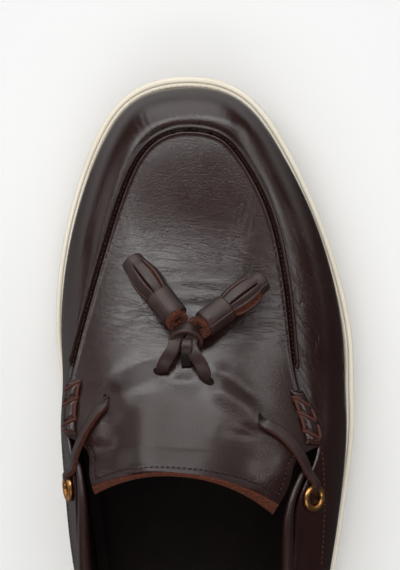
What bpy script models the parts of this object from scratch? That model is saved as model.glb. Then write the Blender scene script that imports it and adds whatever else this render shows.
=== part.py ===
"""A man's right tassel loafer on a rubber cup sole, in metres, toe to +Y, outer side to +X, floor at Z 0.

The leather upper is one hollow shell. Its ribs run round the shoe, from the heel up the inner side
to the toe and back down the outer side. Each rib starts in the sole's cup and climbs to the top line:
the apron's seam at the front, the collar at the back. The apron spans the front pairs of ribs and runs
on over the foot opening as the tongue.
"""

import math

import bmesh
import bpy
import numpy as np
from mathutils import Matrix, Vector

# Driving sizes of the whole shoe
LENGTH = 0.300  # sole, heel to toe
BALL_WIDTH = 0.109  # sole, across the ball of the foot
INSTEP_HEIGHT = 0.080  # floor to the tongue's top edge
LAST_OFFSET = 0.0096  # share of the ball width that the last's middle line lies off the sole's middle
CLEARANCE = 0.0003  # between pieces that touch

# The rubber cup sole
FORE_RIM_HEIGHT = 0.021  # rim above the tread, under the ball
HEEL_RIM_HEIGHT = 0.029
CUP_DEPTH = 0.012  # rim down to the floor that the foot's pieces stand on
RIM_WIDTH = 0.0032
RIM_STEP = 0.0006  # the rim's inner shelf lies this much lower than its lip
TOE_SPRING = 0.007
HEEL_BEVEL = 0.0015
ARCH_RISE = 0.0020
SOLE_TAPER = 0.0030  # the tread's outline inside the rim's
TREAD_EDGE = 0.0050  # height of the tread layer that shows on the side
SIDE_LINE = 0.0005  # depth of the line between the tread layer and the side

# Where the sole's levels change, as shares of LENGTH from the middle
TOE_SPRING_START = 0.20
HEEL_BEVEL_START = -0.42
HALF_LENGTH = 0.50
ARCH_SPAN = (-0.22, -0.06, -0.02, 0.09)  # it starts to rise, is full, starts to fall, and ends
RIM_RISE_SPAN = (-0.30, 0.12)  # the rim falls from the heel's height to the forepart's

# The sole's side, from the tread up and over the lip into the cup. Each row starts from the level of the
# tread, the rim or the cup's floor. Its inset adds shares of SOLE_TAPER, SIDE_LINE, RIM_WIDTH and the rim's
# own width at that rib. Its height adds shares of TREAD_EDGE and SIDE_LINE and takes off shares of
# RIM_WIDTH and RIM_STEP.
SOLE_SIDE = (
    ("tread", "tread", 1.00, 0, 0.00, 0.00, 0.0, 0, 0.00, 0),
    ("tread_corner", "tread", 0.55, 0, 0.00, 0.00, 0.2, 0, 0.00, 0),
    ("line_low", "tread", 0.40, 0, 0.00, 0.00, 1.0, 0, 0.00, 0),
    ("line_deep", "tread", 0.40, 1, 0.00, 0.00, 1.0, 1, 0.00, 0),
    ("line_high", "tread", 0.33, 0, 0.00, 0.00, 1.0, 2, 0.00, 0),
    ("side_top", "rim", 0.00, 0, 0.00, 0.00, 0.0, 0, 0.60, 0),
    ("lip_corner", "rim", 0.00, 0, 0.12, 0.00, 0.0, 0, 0.22, 0),
    ("lip_outer", "rim", 0.00, 0, 0.36, 0.00, 0.0, 0, 0.00, 0),
    ("lip_inner", "rim", 0.00, 0, 0.12, 0.40, 0.0, 0, 0.00, 0),
    ("shelf_outer", "rim", 0.00, 0, 0.19, 0.42, 0.0, 0, 0.00, 1),
    ("shelf_inner", "rim", 0.00, 0, 0.00, 1.00, 0.0, 0, 0.00, 1),
    ("cup_floor", "cup", 0.00, 0, 0.00, 1.00, 0.0, 0, 0.00, 0),
)

# Leather
WALL = 0.0020
BULGE = 0.0015  # how far the wall swells over the rim
INSOLE_THICKNESS = 0.0030
COLLAR_WIDTH = 0.0062
COLLAR_HEIGHT = 0.0056
COLLAR_FADE = 0.45  # the roll's share of its height at its two front ends
PIPING_WIDTH = 0.0026
PIPING_HEIGHT = 0.0015
PUCKER_WIDTH = 0.0045  # the gathered ridge under the hand stitches
PUCKER_HEIGHT = 0.0020
LACE_WIDTH = 0.0044
LACE_THICKNESS = 0.0019
# The lace's rounded section, in halves of its width and of its thickness
LACE_CORNERS = ((-1, -0.6), (-0.8, -1), (0.8, -1), (1, -0.6), (1, 0.6), (0.8, 1), (-0.8, 1), (-1, 0.6))

# Where the raised pieces on the seam start and end, in ribs ahead of the wing
PIPING_START = 1.35
PUCKER_SPAN = (0.06, 1.16)
COLLAR_START = -0.5
COLLAR_RISE = 1.2  # ribs over which the roll grows to its full height
SEAM_LIFT = 1.4  # clearances between the raised strips and the leather under their rounded edges

# Brass eyelets
EYELET_BORE_RADIUS = 0.0028
EYELET_TUBE = 0.0004
EYELET_FLANGE_RADIUS = 0.0050
EYELET_FLANGE_HEIGHT = 0.0013
# The flange's rounded outside: shares of the way from the bore to the flange's edge, and of its height
EYELET_ROUND = ((0.00, 0.45), (0.25, 0.90), (0.55, 1.00), (0.85, 0.80), (1.00, 0.45))

# Tassels and the knot that holds them
TASSEL_RADIUS = 0.0049
TASSEL_SLITS = 7
SLIT_DEPTH = 0.0015
KNOT_WIDTH = 0.0116
KNOT_HEIGHT = 0.0080
KNOT_BAND = 0.0044
KNOT_LIFT = 0.0052  # the band's middle over the apron
KNOT_LEAN = 32  # degrees that the band leans to the toe

# Ribs round the shoe. Along is a share of LENGTH from the middle, across a share of BALL_WIDTH, height a
# share of INSTEP_HEIGHT, rim a share of RIM_WIDTH, bulge a share of BULGE. Roll is how far the wall has
# turned over, in degrees, where it reaches the top line.
RIB_COLUMNS = ("sole_along", "sole_across", "top_along", "top_across", "top_height", "rim", "bulge", "roll")
RIBS = (
    ("heel_back", -0.500, -0.020, -0.458, -0.016, 0.920, 1.00, 1.8, 35),
    ("heel_inner", -0.463, -0.268, -0.424, -0.188, 0.895, 1.00, 1.8, 35),
    ("heel_side_inner", -0.360, -0.369, -0.343, -0.286, 0.800, 1.00, 1.8, 35),
    ("ankle_inner", -0.217, -0.382, -0.227, -0.334, 0.705, 1.00, 2.0, 35),
    ("arch_inner", -0.083, -0.425, -0.083, -0.392, 0.705, 1.00, 2.9, 40),
    ("eyelet_inner", 0.007, -0.460, 0.007, -0.406, 0.740, 1.00, 2.6, 50),
    ("wing_rear_inner", 0.080, -0.484, 0.070, -0.440, 0.690, 1.00, 1.8, 62),
    ("wing_front_inner", 0.130, -0.492, 0.126, -0.442, 0.650, 1.00, 0.9, 68),
    ("ball_inner", 0.207, -0.510, 0.208, -0.393, 0.600, 1.00, 0.7, 70),
    ("forepart_inner", 0.320, -0.473, 0.310, -0.3165, 0.550, 1.00, 0.6, 74),
    ("toe_side_inner", 0.430, -0.369, 0.397, -0.2265, 0.530, 1.10, 0.4, 78),
    ("toe_turn_inner", 0.4855, -0.236, 0.430, -0.128, 0.525, 1.20, 0.4, 80),
    ("toe_tip", 0.500, -0.062, 0.4355, -0.042, 0.525, 1.25, 0.4, 80),
    ("toe_turn_outer", 0.4855, 0.107, 0.428, 0.056, 0.525, 1.20, 0.8, 80),
    ("toe_side_outer", 0.430, 0.2455, 0.396, 0.141, 0.530, 1.10, 1.0, 78),
    ("forepart_outer", 0.320, 0.3875, 0.318, 0.241, 0.545, 1.00, 1.5, 74),
    ("ball_outer", 0.203, 0.4765, 0.205, 0.293, 0.575, 1.00, 1.0, 72),
    ("wing_front_outer", 0.128, 0.4885, 0.1237, 0.3267, 0.605, 1.00, 1.0, 68),
    ("wing_rear_outer", 0.070, 0.489, 0.0575, 0.382, 0.630, 1.00, 1.2, 64),
    ("eyelet_outer", -0.007, 0.464, -0.003, 0.323, 0.700, 1.00, 1.9, 52),
    ("waist_outer", -0.092, 0.428, -0.087, 0.302, 0.680, 1.00, 2.0, 42),
    ("ankle_outer", -0.222, 0.370, -0.228, 0.270, 0.672, 1.00, 1.8, 36),
    ("heel_side_outer", -0.360, 0.330, -0.343, 0.242, 0.785, 1.00, 1.8, 35),
    ("heel_outer", -0.463, 0.230, -0.424, 0.152, 0.885, 1.00, 1.8, 35),
)
RIB_COUNT = len(RIBS)
WING = 6  # the rib where the apron leaves the wall and becomes the tongue
TIP = 12  # the rib at the toe's tip; rib k on the inner side faces rib RIB_COUNT - k

# The apron's ridge over each front pair of ribs, from the wing to the tip
RIDGE_COLUMNS = ("along", "across", "height")
APRON_RIDGE = (
    ("wing_rear", 0.070, -0.040, 0.868),
    ("wing_front", 0.130, -0.039, 0.775),
    ("ball", 0.208, -0.036, 0.684),
    ("forepart", 0.315, -0.029, 0.602),
    ("toe_side", 0.3975, -0.034, 0.556),
    ("toe_turn", 0.4295, -0.034, 0.534),
    ("toe_tip", 0.4355, -0.034, 0.525),
)

# The tongue behind the wing: its inner edge, its ridge and its outer edge
TONGUE_COLUMNS = (
    "inner_along", "inner_across", "inner_height",
    "along", "across", "height",
    "outer_along", "outer_across", "outer_height",
)
TONGUE = (
    ("root", 0.053, -0.366, 0.755, 0.055, -0.039, 0.905, 0.042, 0.312, 0.725),
    ("middle", 0.028, -0.356, 0.795, 0.040, -0.038, 0.953, 0.012, 0.287, 0.757),
    ("edge", 0.002, -0.337, 0.817, 0.0255, -0.035, 1.000, -0.021, 0.236, 0.785),
)
SECTION_POWER = 2.2  # how square the apron's arch is

# Eyelets: the rib that each sits on, and how far up the wall's turn
EYELETS = (("inner", 5.02, 0.80), ("outer", 18.98, 0.84))

# The lace's two bars, from the slits in the apron, over the wings, to the eyelets. An apron row is a rib
# number, a share across the apron and a lift in LACE_THICKNESS. An eyelet row is how far forwards, up the
# wall and outwards of the eyelet's centre, in EYELET_FLANGE_RADIUS.
LACE_COLUMNS = ("by", "first", "second", "lift")
LACES = {
    "inner": (
        ("apron", 6.76, 0.176, 0.75),
        ("apron", 6.62, 0.160, 1.00),
        ("apron", 6.36, 0.128, 1.25),
        ("apron", 5.98, 0.070, 2.10),
        ("eyelet", 1.45, 1.72, 0.75),
        ("eyelet", 0.62, 0.90, 0.98),
        ("eyelet", 0.10, 0.05, 0.62),
    ),
    "outer": (
        ("apron", 6.46, 0.800, 0.75),
        ("apron", 6.33, 0.824, 1.00),
        ("apron", 6.02, 0.888, 1.25),
        ("apron", 5.55, 0.955, 2.00),
        ("eyelet", 1.75, 0.90, 0.95),
        ("eyelet", 0.85, 0.45, 0.95),
        ("eyelet", 0.15, 0.00, 0.62),
    ),
}

# The lace's two ends and the fold between them, from the apron up through the knot's band to the tassels'
# heads. Across, forwards and up are in KNOT_WIDTH, KNOT_BAND and KNOT_HEIGHT from the band's middle.
LACE_ENDS = {
    "inner": ((-0.49, -2.75, -0.46), (-0.38, -1.70, 0.02), (-0.20, -0.50, 0.12), (-0.22, 0.55, 0.18)),
    "outer": ((0.55, -2.85, -0.46), (0.45, -1.70, 0.00), (0.22, -0.50, 0.12), (0.18, 0.05, 0.16)),
    "fold": ((0.09, -2.30, -0.42), (0.10, -1.40, 0.05), (0.07, -0.60, 0.22), (0.05, 0.10, 0.22)),
}
KNOT_SEAT = (7.665, 0.482)  # rib number and share across the apron

# Tassels, from the rolled head by the knot to the far end on the apron: the rib number, the share across
# the apron and the axis's lift in TASSEL_RADIUS
TASSELS = {
    "inner": ((7.897, 0.443, 1.75), (8.598, 0.213, 1.00)),
    "outer": ((7.815, 0.556, 1.75), (8.345, 0.832, 1.00)),
}
# The tassel's outline: the share of its length, the share of its radius, and how open the slits are there
TASSEL_COLUMNS = ("share", "radius", "open")
TASSEL_OUTLINE = (
    ("head_edge", 0.000, 0.90, 0.0),
    ("head", 0.020, 1.00, 0.0),
    ("band_end", 0.370, 1.02, 0.0),
    ("band_step", 0.385, 0.93, 0.0),
    ("slit_start", 0.430, 0.97, 0.6),
    ("belly", 0.530, 1.08, 1.0),
    ("belly_end", 0.680, 1.08, 1.0),
    ("slit_end", 0.830, 0.95, 0.7),
    ("cap", 0.880, 0.86, 0.0),
    ("cap_end", 0.980, 0.84, 0.0),
    ("cap_edge", 1.000, 0.76, 0.0),
)
SLIT_SHARES = (0.0, 0.12, 0.5, 0.88)  # of one strip's turn: the slit, the strip's edge, middle and edge

# How finely each form is cut
STEPS_PER_RIB = 4
TONGUE_STEPS = 2
WALL_STEPS = 5
APRON_STEPS = 8
FLOOR_STEPS = 3
COLLAR_SIDES = 8
PIPING_STEPS = 5
PIPING_SIDES = 4
PUCKER_STEPS = 10
PUCKER_SIDES = 6
KNOT_SIDES = 14
EYELET_STEPS = 16

# Base colour, roughness and metallic value of each material
COLOURS = {
    "leather": ((0.033, 0.016, 0.013), 0.42, 0.0),
    "strap_leather": ((0.045, 0.022, 0.018), 0.50, 0.0),
    "lining": ((0.015, 0.008, 0.007), 0.70, 0.0),
    "rubber": ((0.850, 0.770, 0.610), 0.60, 0.0),
    "brass": ((0.480, 0.220, 0.050), 0.30, 1.0),
}


def clear_scene():
    for obj in list(bpy.data.objects):
        bpy.data.objects.remove(obj, do_unlink=True)


def material(name):
    colour, roughness, metallic = COLOURS[name]
    made = bpy.data.materials.new(name)
    made.use_nodes = True
    shader = made.node_tree.nodes["Principled BSDF"]
    shader.inputs["Base Color"].default_value = (*colour, 1.0)
    shader.inputs["Roughness"].default_value = roughness
    shader.inputs["Metallic"].default_value = metallic
    return made


def columns(rows, names, first=1):
    """The table's columns as arrays, by name."""
    return {name: np.array([row[first + i] for row in rows], float) for i, name in enumerate(names)}


class ClosedSpline:
    """A smooth closed curve through numbered rows, with an even curvature at each."""

    def __init__(self, values):
        self.values = np.asarray(values, float)
        count = len(self.values)
        system = np.zeros((count, count))
        for i in range(count):
            system[i, i] = 4 / 6
            system[i, (i - 1) % count] = 1 / 6
            system[i, (i + 1) % count] = 1 / 6
        turn = np.roll(self.values, 1) - 2 * self.values + np.roll(self.values, -1)
        self.bend = np.linalg.solve(system, turn)

    def __call__(self, q):
        i = math.floor(q)
        f = q - i
        a, b = i % len(self.values), (i + 1) % len(self.values)
        return (
            (1 - f) * self.values[a] + f * self.values[b]
            + ((1 - f) ** 3 - (1 - f)) * self.bend[a] / 6
            + (f**3 - f) * self.bend[b] / 6
        )


class OpenSpline:
    """A smooth curve through numbered rows, straight at its two ends."""

    def __init__(self, values):
        self.values = np.asarray(values, float)
        count = len(self.values)
        system = np.eye(count)
        turn = np.zeros_like(self.values)
        for i in range(1, count - 1):
            system[i, i - 1:i + 2] = (1 / 6, 4 / 6, 1 / 6)
            turn[i] = self.values[i - 1] - 2 * self.values[i] + self.values[i + 1]
        self.bend = np.linalg.solve(system, turn)

    def __call__(self, q):
        i = min(max(math.floor(q), 0), len(self.values) - 2)
        f = q - i
        return (
            (1 - f) * self.values[i] + f * self.values[i + 1]
            + ((1 - f) ** 3 - (1 - f)) * self.bend[i] / 6
            + (f**3 - f) * self.bend[i + 1] / 6
        )


RIB = {name: ClosedSpline(values) for name, values in columns(RIBS, RIB_COLUMNS).items()}


def smooth_step(value, low, high):
    share = min(max((value - low) / (high - low), 0.0), 1.0)
    return share * share * (3 - 2 * share)


def place(along, across, height=0.0):
    """The point at shares of the shoe's length, ball width and instep height."""
    return Vector(((across + LAST_OFFSET) * BALL_WIDTH, along * LENGTH, height * INSTEP_HEIGHT))


def toe_rise(along):
    return TOE_SPRING * max(0.0, (along - TOE_SPRING_START) / (HALF_LENGTH - TOE_SPRING_START)) ** 2


def tread_height(y):
    """The tread's height over the floor: flat under heel and ball, raised at toe, arch and heel edge."""
    along = y / LENGTH
    heel = max(0.0, (HEEL_BEVEL_START - along) / (HALF_LENGTH + HEEL_BEVEL_START)) ** 2
    rise, full, fall, end = ARCH_SPAN
    arch = smooth_step(along, rise, full) * (1 - smooth_step(along, fall, end))
    return toe_rise(along) + HEEL_BEVEL * heel + ARCH_RISE * arch


def rim_height(y):
    """The height of the rim's lip, higher under the heel and following the toe spring."""
    along = y / LENGTH
    heel = 1 - smooth_step(along, *RIM_RISE_SPAN)
    return FORE_RIM_HEIGHT + (HEEL_RIM_HEIGHT - FORE_RIM_HEIGHT) * heel + toe_rise(along)


def cup_floor_height(y):
    return rim_height(y) - CUP_DEPTH


def sole_outline(q, inset=0.0):
    """The sole's outline at rib number q, moved inwards by inset, at Z 0."""
    step = 0.01
    here = place(RIB["sole_along"](q), RIB["sole_across"](q))
    ahead = place(RIB["sole_along"](q + step), RIB["sole_across"](q + step))
    behind = place(RIB["sole_along"](q - step), RIB["sole_across"](q - step))
    run = (ahead - behind).normalized()
    inwards = Vector((run.y, -run.x, 0.0))
    return here + inwards * inset


def top_line(q):
    return place(RIB["top_along"](q), RIB["top_across"](q), RIB["top_height"](q))


def rim_inset(q):
    return RIM_WIDTH * RIB["rim"](q)


def wall_point(q, turn):
    """The wall's outer face at rib number q, from the rim (turn 0) to the top line (turn 1)."""
    base = sole_outline(q, rim_inset(q) + CLEARANCE)
    outline = sole_outline(q)
    outwards = (outline - base).normalized()
    top = top_line(q)
    low = rim_height(base.y)
    angle = math.radians(RIB["roll"](q))
    inward = (1 - math.cos(angle * turn)) / (1 - math.cos(angle))
    upward = math.sin(angle * turn) / math.sin(angle)
    swell = BULGE * RIB["bulge"](q) * math.sin(math.pi * min(1.0, upward) ** 0.8)
    spot = base.lerp(Vector((top.x, top.y, 0.0)), inward) + outwards * swell
    spot.z = low + (top.z - low) * upward
    return spot


def wall_rib(q):
    """The outer face of one rib, from the cup's floor up to the top line."""
    foot = sole_outline(q, rim_inset(q) + CLEARANCE)
    foot.z = cup_floor_height(foot.y) + CLEARANCE
    return [foot] + [wall_point(q, step / WALL_STEPS) for step in range(WALL_STEPS + 1)]


def ridge_splines():
    """The ridge from the tip, back over the apron and the tongue, as three splines of the row number."""
    apron = columns(APRON_RIDGE[::-1], RIDGE_COLUMNS)
    tongue = columns(TONGUE, TONGUE_COLUMNS)
    return [OpenSpline(np.concatenate([apron[name], tongue[name]])) for name in RIDGE_COLUMNS]


def tongue_edge(side):
    """The tongue's edge on one side, from the wing to its corner, as three splines of the row number."""
    rows = columns(TONGUE, TONGUE_COLUMNS)
    wing = WING if side == "inner" else RIB_COUNT - WING
    starts = (RIB["top_along"](wing), RIB["top_across"](wing), RIB["top_height"](wing))
    names = ("along", "across", "height")
    return [OpenSpline(np.concatenate([[start], rows[f"{side}_{name}"]])) for start, name in zip(starts, names)]


RIDGE = ridge_splines()
TONGUE_SIDES = {side: tongue_edge(side) for side in ("inner", "outer")}


def apron_row(q):
    """The apron's two edges and ridge. From TIP down to WING q is a rib number, and below that the tongue's."""
    ridge = place(*(spline(TIP - q) for spline in RIDGE))
    if q >= WING:
        return top_line(q), ridge, top_line(RIB_COUNT - q)
    inner, outer = (place(*(spline(WING - q) for spline in TONGUE_SIDES[side])) for side in ("inner", "outer"))
    return inner, ridge, outer


def apron_point(q, share):
    """A point of the apron or tongue: share runs from the inner edge, 0, to the outer edge, 1."""
    inner, ridge, outer = apron_row(q)
    arch = 1 - abs(2 * share - 1) ** SECTION_POWER
    return inner.lerp(outer, share) + (ridge - inner.lerp(outer, 0.5)) * arch


def apron_normal(q, share):
    step = 0.02
    across = apron_point(q, min(share + step, 1.0)) - apron_point(q, max(share - step, 0.0))
    along = apron_point(q + step, share) - apron_point(q - step, share)
    return across.cross(along).normalized()


def on_apron(q, share, lift):
    """The point at this lift over the outer face of the apron or the tongue."""
    return apron_point(q, share) + apron_normal(q, share) * lift


def link(obj, colour, group):
    group.objects.link(obj)
    obj.data.materials.append(bpy.data.materials[colour])
    return obj


def mesh_object(name, points, faces, colour, group):
    mesh = bpy.data.meshes.new(name)
    mesh.from_pydata([tuple(point) for point in points], [], faces)
    work = bmesh.new()
    work.from_mesh(mesh)
    bmesh.ops.recalc_face_normals(work, faces=work.faces)
    work.to_mesh(mesh)
    work.free()
    mesh.shade_smooth()
    return link(bpy.data.objects.new(name, mesh), colour, group)


def loft(name, rings, colour, group, closed=False):
    """A solid through rings of equally many points; closed joins the last ring to the first, else it is capped."""
    size = len(rings[0])
    points = [point for ring in rings for point in ring]
    faces = []
    for i in range(len(rings) if closed else len(rings) - 1):
        here, there = i * size, (i + 1) % len(rings) * size
        for j in range(size):
            k = (j + 1) % size
            faces.append((here + j, here + k, there + k, there + j))
    if not closed:
        faces.append(tuple(range(size)))
        faces.append(tuple(range(len(points) - size, len(points))))
    return mesh_object(name, points, faces, colour, group)


def stations(first, last, per_rib=STEPS_PER_RIB):
    count = round((last - first) * per_rib)
    return [first + step / per_rib for step in range(count + 1)]


def side_ring(inset, height, rim_share=0.0):
    """A ring round the sole: its inset, plus a share of the rim's width there, at height(y)."""
    ring = []
    for q in stations(0, RIB_COUNT)[:-1]:
        spot = sole_outline(q, inset + rim_share * rim_inset(q))
        spot.z = height(spot.y)
        ring.append(spot)
    return ring


def floor_faces(ring_start, points):
    """Strips across a ring of the sole, from each inner station to the outer one that faces it."""
    count = RIB_COUNT * STEPS_PER_RIB
    heel, tip = 0, TIP * STEPS_PER_RIB
    rows = []
    for i in range(heel + 1, tip):
        a, b = ring_start + i, ring_start + count - i
        row = [a]
        for step in range(1, FLOOR_STEPS):
            points.append(points[a].lerp(points[b], step / FLOOR_STEPS))
            row.append(len(points) - 1)
        rows.append(row + [b])
    faces = [(row[j], row[j + 1], after[j + 1], after[j]) for row, after in zip(rows, rows[1:])
             for j in range(FLOOR_STEPS)]
    for end, row in ((ring_start + heel, rows[0]), (ring_start + tip, rows[-1])):
        faces += [(end, row[j], row[j + 1]) for j in range(FLOOR_STEPS)]
    return faces


def ringed_solid(name, rings, colour, group):
    """A solid with walls through the rings, and strips across the first and the last."""
    points = [point.copy() for ring in rings for point in ring]
    size = len(rings[0])
    faces = []
    for i in range(len(rings) - 1):
        for j in range(size):
            k = (j + 1) % size
            faces.append((i * size + j, i * size + k, (i + 1) * size + k, (i + 1) * size + j))
    faces += floor_faces(0, points)
    faces += floor_faces((len(rings) - 1) * size, points)
    return mesh_object(name, points, faces, colour, group)


def add_sole(group):
    """The cup sole: tread, side with the line over the tread layer, lip, shelf, cup wall and cup floor."""
    rings = []
    for _, base, taper, line_in, lip, rim, tread_up, line_up, rim_down, step_down in SOLE_SIDE:
        level = {"tread": tread_height, "rim": rim_height, "cup": cup_floor_height}[base]
        inset = SOLE_TAPER * taper + SIDE_LINE * line_in + RIM_WIDTH * lip
        rise = TREAD_EDGE * tread_up + SIDE_LINE * line_up - RIM_WIDTH * rim_down - RIM_STEP * step_down
        rings.append(side_ring(inset, lambda y, level=level, rise=rise: level(y) + rise, rim))
    ringed_solid("sole", rings, "rubber", group)


def add_insole(group):
    """The leather footbed on the cup's floor, inside the upper's wall."""
    edge = WALL + 3 * CLEARANCE
    rings = [
        side_ring(edge, lambda y: cup_floor_height(y) + CLEARANCE, 1.0),
        side_ring(edge, lambda y: cup_floor_height(y) + CLEARANCE + INSOLE_THICKNESS, 1.0),
    ]
    ringed_solid("insole", rings, "lining", group)


def add_upper(group, cutters):
    """The hollow upper: a grid of wall, apron and wall at the front, wall only round the back, and the tongue."""
    points, faces = [], []

    def add(row):
        points.extend(row)
        return list(range(len(points) - len(row), len(points)))

    def join(row, after):
        faces.extend((row[j], row[j + 1], after[j + 1], after[j]) for j in range(len(row) - 1))

    def inside(q):
        return add([apron_point(q, step / APRON_STEPS) for step in range(1, APRON_STEPS)])

    front = []
    for q in stations(WING, TIP)[:-2]:
        inner, outer = add(wall_rib(q)), add(wall_rib(RIB_COUNT - q))
        front.append((inner, inside(q), outer))
    full = [inner + middle + outer[::-1] for inner, middle, outer in front]
    for row, after in zip(full, full[1:]):
        join(row, after)

    beside = 1 / STEPS_PER_RIB
    toe = [add(wall_rib(TIP + away)) for away in (-beside, 0, beside)]
    for row, after in zip([front[-1][0]] + toe, toe + [front[-1][2]]):
        join(row, after)
    crown = full[-1][len(toe[0]) - 1:len(full[-1]) - len(toe[0]) + 1]
    rim = [row[-1] for row in toe]
    facing = [min(len(rim) - 1, (len(rim) * j) // APRON_STEPS) for j in range(APRON_STEPS)]
    for j, k in enumerate(facing):
        faces.append((crown[j], crown[j + 1], rim[k]))
        if j and k != facing[j - 1]:
            faces.append((crown[j], rim[k], rim[facing[j - 1]]))

    first_inner, first_middle, first_outer = front[0]
    back = [first_outer]
    for q in stations(RIB_COUNT - WING, RIB_COUNT + WING)[1:-1]:
        back.append(add(wall_rib(q)))
    back.append(first_inner)
    for row, after in zip(back, back[1:]):
        join(row, after)

    row = [first_inner[-1]] + first_middle + [first_outer[-1]]
    for q in [WING - step / TONGUE_STEPS for step in range(1, len(TONGUE) * TONGUE_STEPS + 1)]:
        edge = add([apron_point(q, step / APRON_STEPS) for step in range(APRON_STEPS + 1)])
        join(edge, row)
        row = edge

    upper = mesh_object("upper", points, faces, "leather", group)
    shell = upper.modifiers.new("wall", "SOLIDIFY")
    shell.thickness = WALL
    shell.offset = -1.0 if faces_outwards(upper) else 1.0
    shell.use_even_offset = False
    for side, rib, turn in EYELETS:
        radius = EYELET_BORE_RADIUS + EYELET_TUBE + 2 * CLEARANCE
        bpy.ops.mesh.primitive_cylinder_add(vertices=EYELET_STEPS, radius=radius, depth=8 * WALL)
        cutter = bpy.context.object
        cutter.name = f"eyelet_hole_{side}"
        cutter.matrix_world = wall_frame(rib, turn)
        cutter.display_type = "WIRE"
        cutter.hide_render = True
        for owner in list(cutter.users_collection):
            owner.objects.unlink(cutter)
        cutters.objects.link(cutter)
        hole = upper.modifiers.new(f"eyelet_{side}", "BOOLEAN")
        hole.operation = "DIFFERENCE"
        hole.object = cutter


def faces_outwards(obj):
    """Whether the open shell's faces look away from the foot, judged at the face nearest the ridge's top."""
    top = max(obj.data.polygons, key=lambda face: face.center.z)
    return top.normal.z > 0


def wall_frame(q, turn):
    """A matrix on the wall's outer face, its Z axis along the outward normal and its Y axis up the wall."""
    step = 0.02
    here = wall_point(q, turn)
    up = (wall_point(q, turn + step) - wall_point(q, turn - step)).normalized()
    along = (wall_point(q + step, turn) - wall_point(q - step, turn)).normalized()
    out = along.cross(up).normalized()
    if out.dot(sole_outline(q) - sole_outline(q, WALL)) < 0:
        out.negate()
    side = up.cross(out).normalized()
    return Matrix.Translation(here) @ Matrix((side, up, out)).transposed().to_4x4()


def add_eyelets(group):
    """Each eyelet is a turned ring with a rounded flange outside the wall and a short tube through it."""
    inner, outer = EYELET_BORE_RADIUS, EYELET_BORE_RADIUS + EYELET_TUBE
    top, wide = CLEARANCE + EYELET_FLANGE_HEIGHT, EYELET_FLANGE_RADIUS
    profile = [(inner + (wide - inner) * share, top * height) for share, height in EYELET_ROUND]
    profile += [(wide - EYELET_TUBE, CLEARANCE), (outer, CLEARANCE), (outer, -WALL), (inner, -WALL)]
    for side, rib, turn in EYELETS:
        mesh = bpy.data.meshes.new(f"eyelet_{side}")
        edges = [(i, (i + 1) % len(profile)) for i in range(len(profile))]
        mesh.from_pydata([(x, 0.0, z) for x, z in profile], edges, [])
        ring = link(bpy.data.objects.new(f"eyelet_{side}", mesh), "brass", group)
        ring.matrix_world = wall_frame(rib, turn)
        turned = ring.modifiers.new("turned", "SCREW")
        turned.axis = "Z"
        turned.steps = turned.render_steps = EYELET_STEPS
        turned.use_merge_vertices = True
        turned.merge_threshold = 0.00001


def raised_strip(name, sections, height, sides, group):
    """A strip with a rounded top over sections of its two edges, the middle of its underside and the way up."""
    rings = []
    for i, (edge, middle, far_edge, up) in enumerate(sections):
        rise = height * (0.5 if i in (0, len(sections) - 1) else 1.0)
        centre, half = (edge + far_edge) / 2, (edge - far_edge) / 2
        arch = [centre + half * math.cos(turn) + up * (rise * math.sin(turn))
                for turn in (math.pi * side / sides for side in range(sides + 1))]
        rings.append(arch + [middle])
    return loft(name, rings, "leather", group)


def piping_section(q):
    """The strip's section over the apron's seam: half of it lies on the apron and half on the wall."""
    step = 0.02
    here = top_line(q)
    run = (top_line(q + step) - top_line(q - step)).normalized()
    facing = q if q <= TIP else RIB_COUNT - q
    share = 0.15 + 0.35 * max(0.0, 1 - (TIP - facing) / 1.5)
    onto = apron_point(facing - 0.7, share if q <= TIP else 1 - share) - here
    down = wall_point(q, 0.93) - here
    onto, down = ((way - run * way.dot(run)).normalized() for way in (onto, down))
    over, out = onto.cross(run).normalized(), run.cross(down).normalized()
    up = (over + out).normalized()
    half = PIPING_WIDTH / 2
    lift = SEAM_LIFT * CLEARANCE
    return here + onto * half + over * lift, here + up * lift, here + down * half + out * lift, up


def pucker_section(q, side):
    """The ridge's section on the apron, from its edge inwards."""
    width = PUCKER_WIDTH / (top_line(q) - top_line(RIB_COUNT - q)).length
    shares = [width * share for share in (0.0, 0.5, 1.0)]
    if side == "outer":
        shares = [1 - share for share in shares]
    edge, middle, far_edge = (on_apron(q, share, SEAM_LIFT * CLEARANCE) for share in shares)
    return edge, middle, far_edge, apron_normal(q, shares[1])


def add_seam_beads(group):
    """The raised piping on the apron's seam, and the gathered ridges that the hand stitches hold."""
    first = WING + PIPING_START
    piping = [piping_section(q) for q in stations(first, RIB_COUNT - first, PIPING_STEPS)]
    raised_strip("apron_piping", piping, PIPING_HEIGHT, PIPING_SIDES, group)
    for side in ("inner", "outer"):
        ridge = [pucker_section(WING + q, side) for q in stations(*PUCKER_SPAN, PUCKER_STEPS)]
        raised_strip(f"pucker_{side}", ridge, PUCKER_HEIGHT, PUCKER_SIDES, group)


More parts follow.
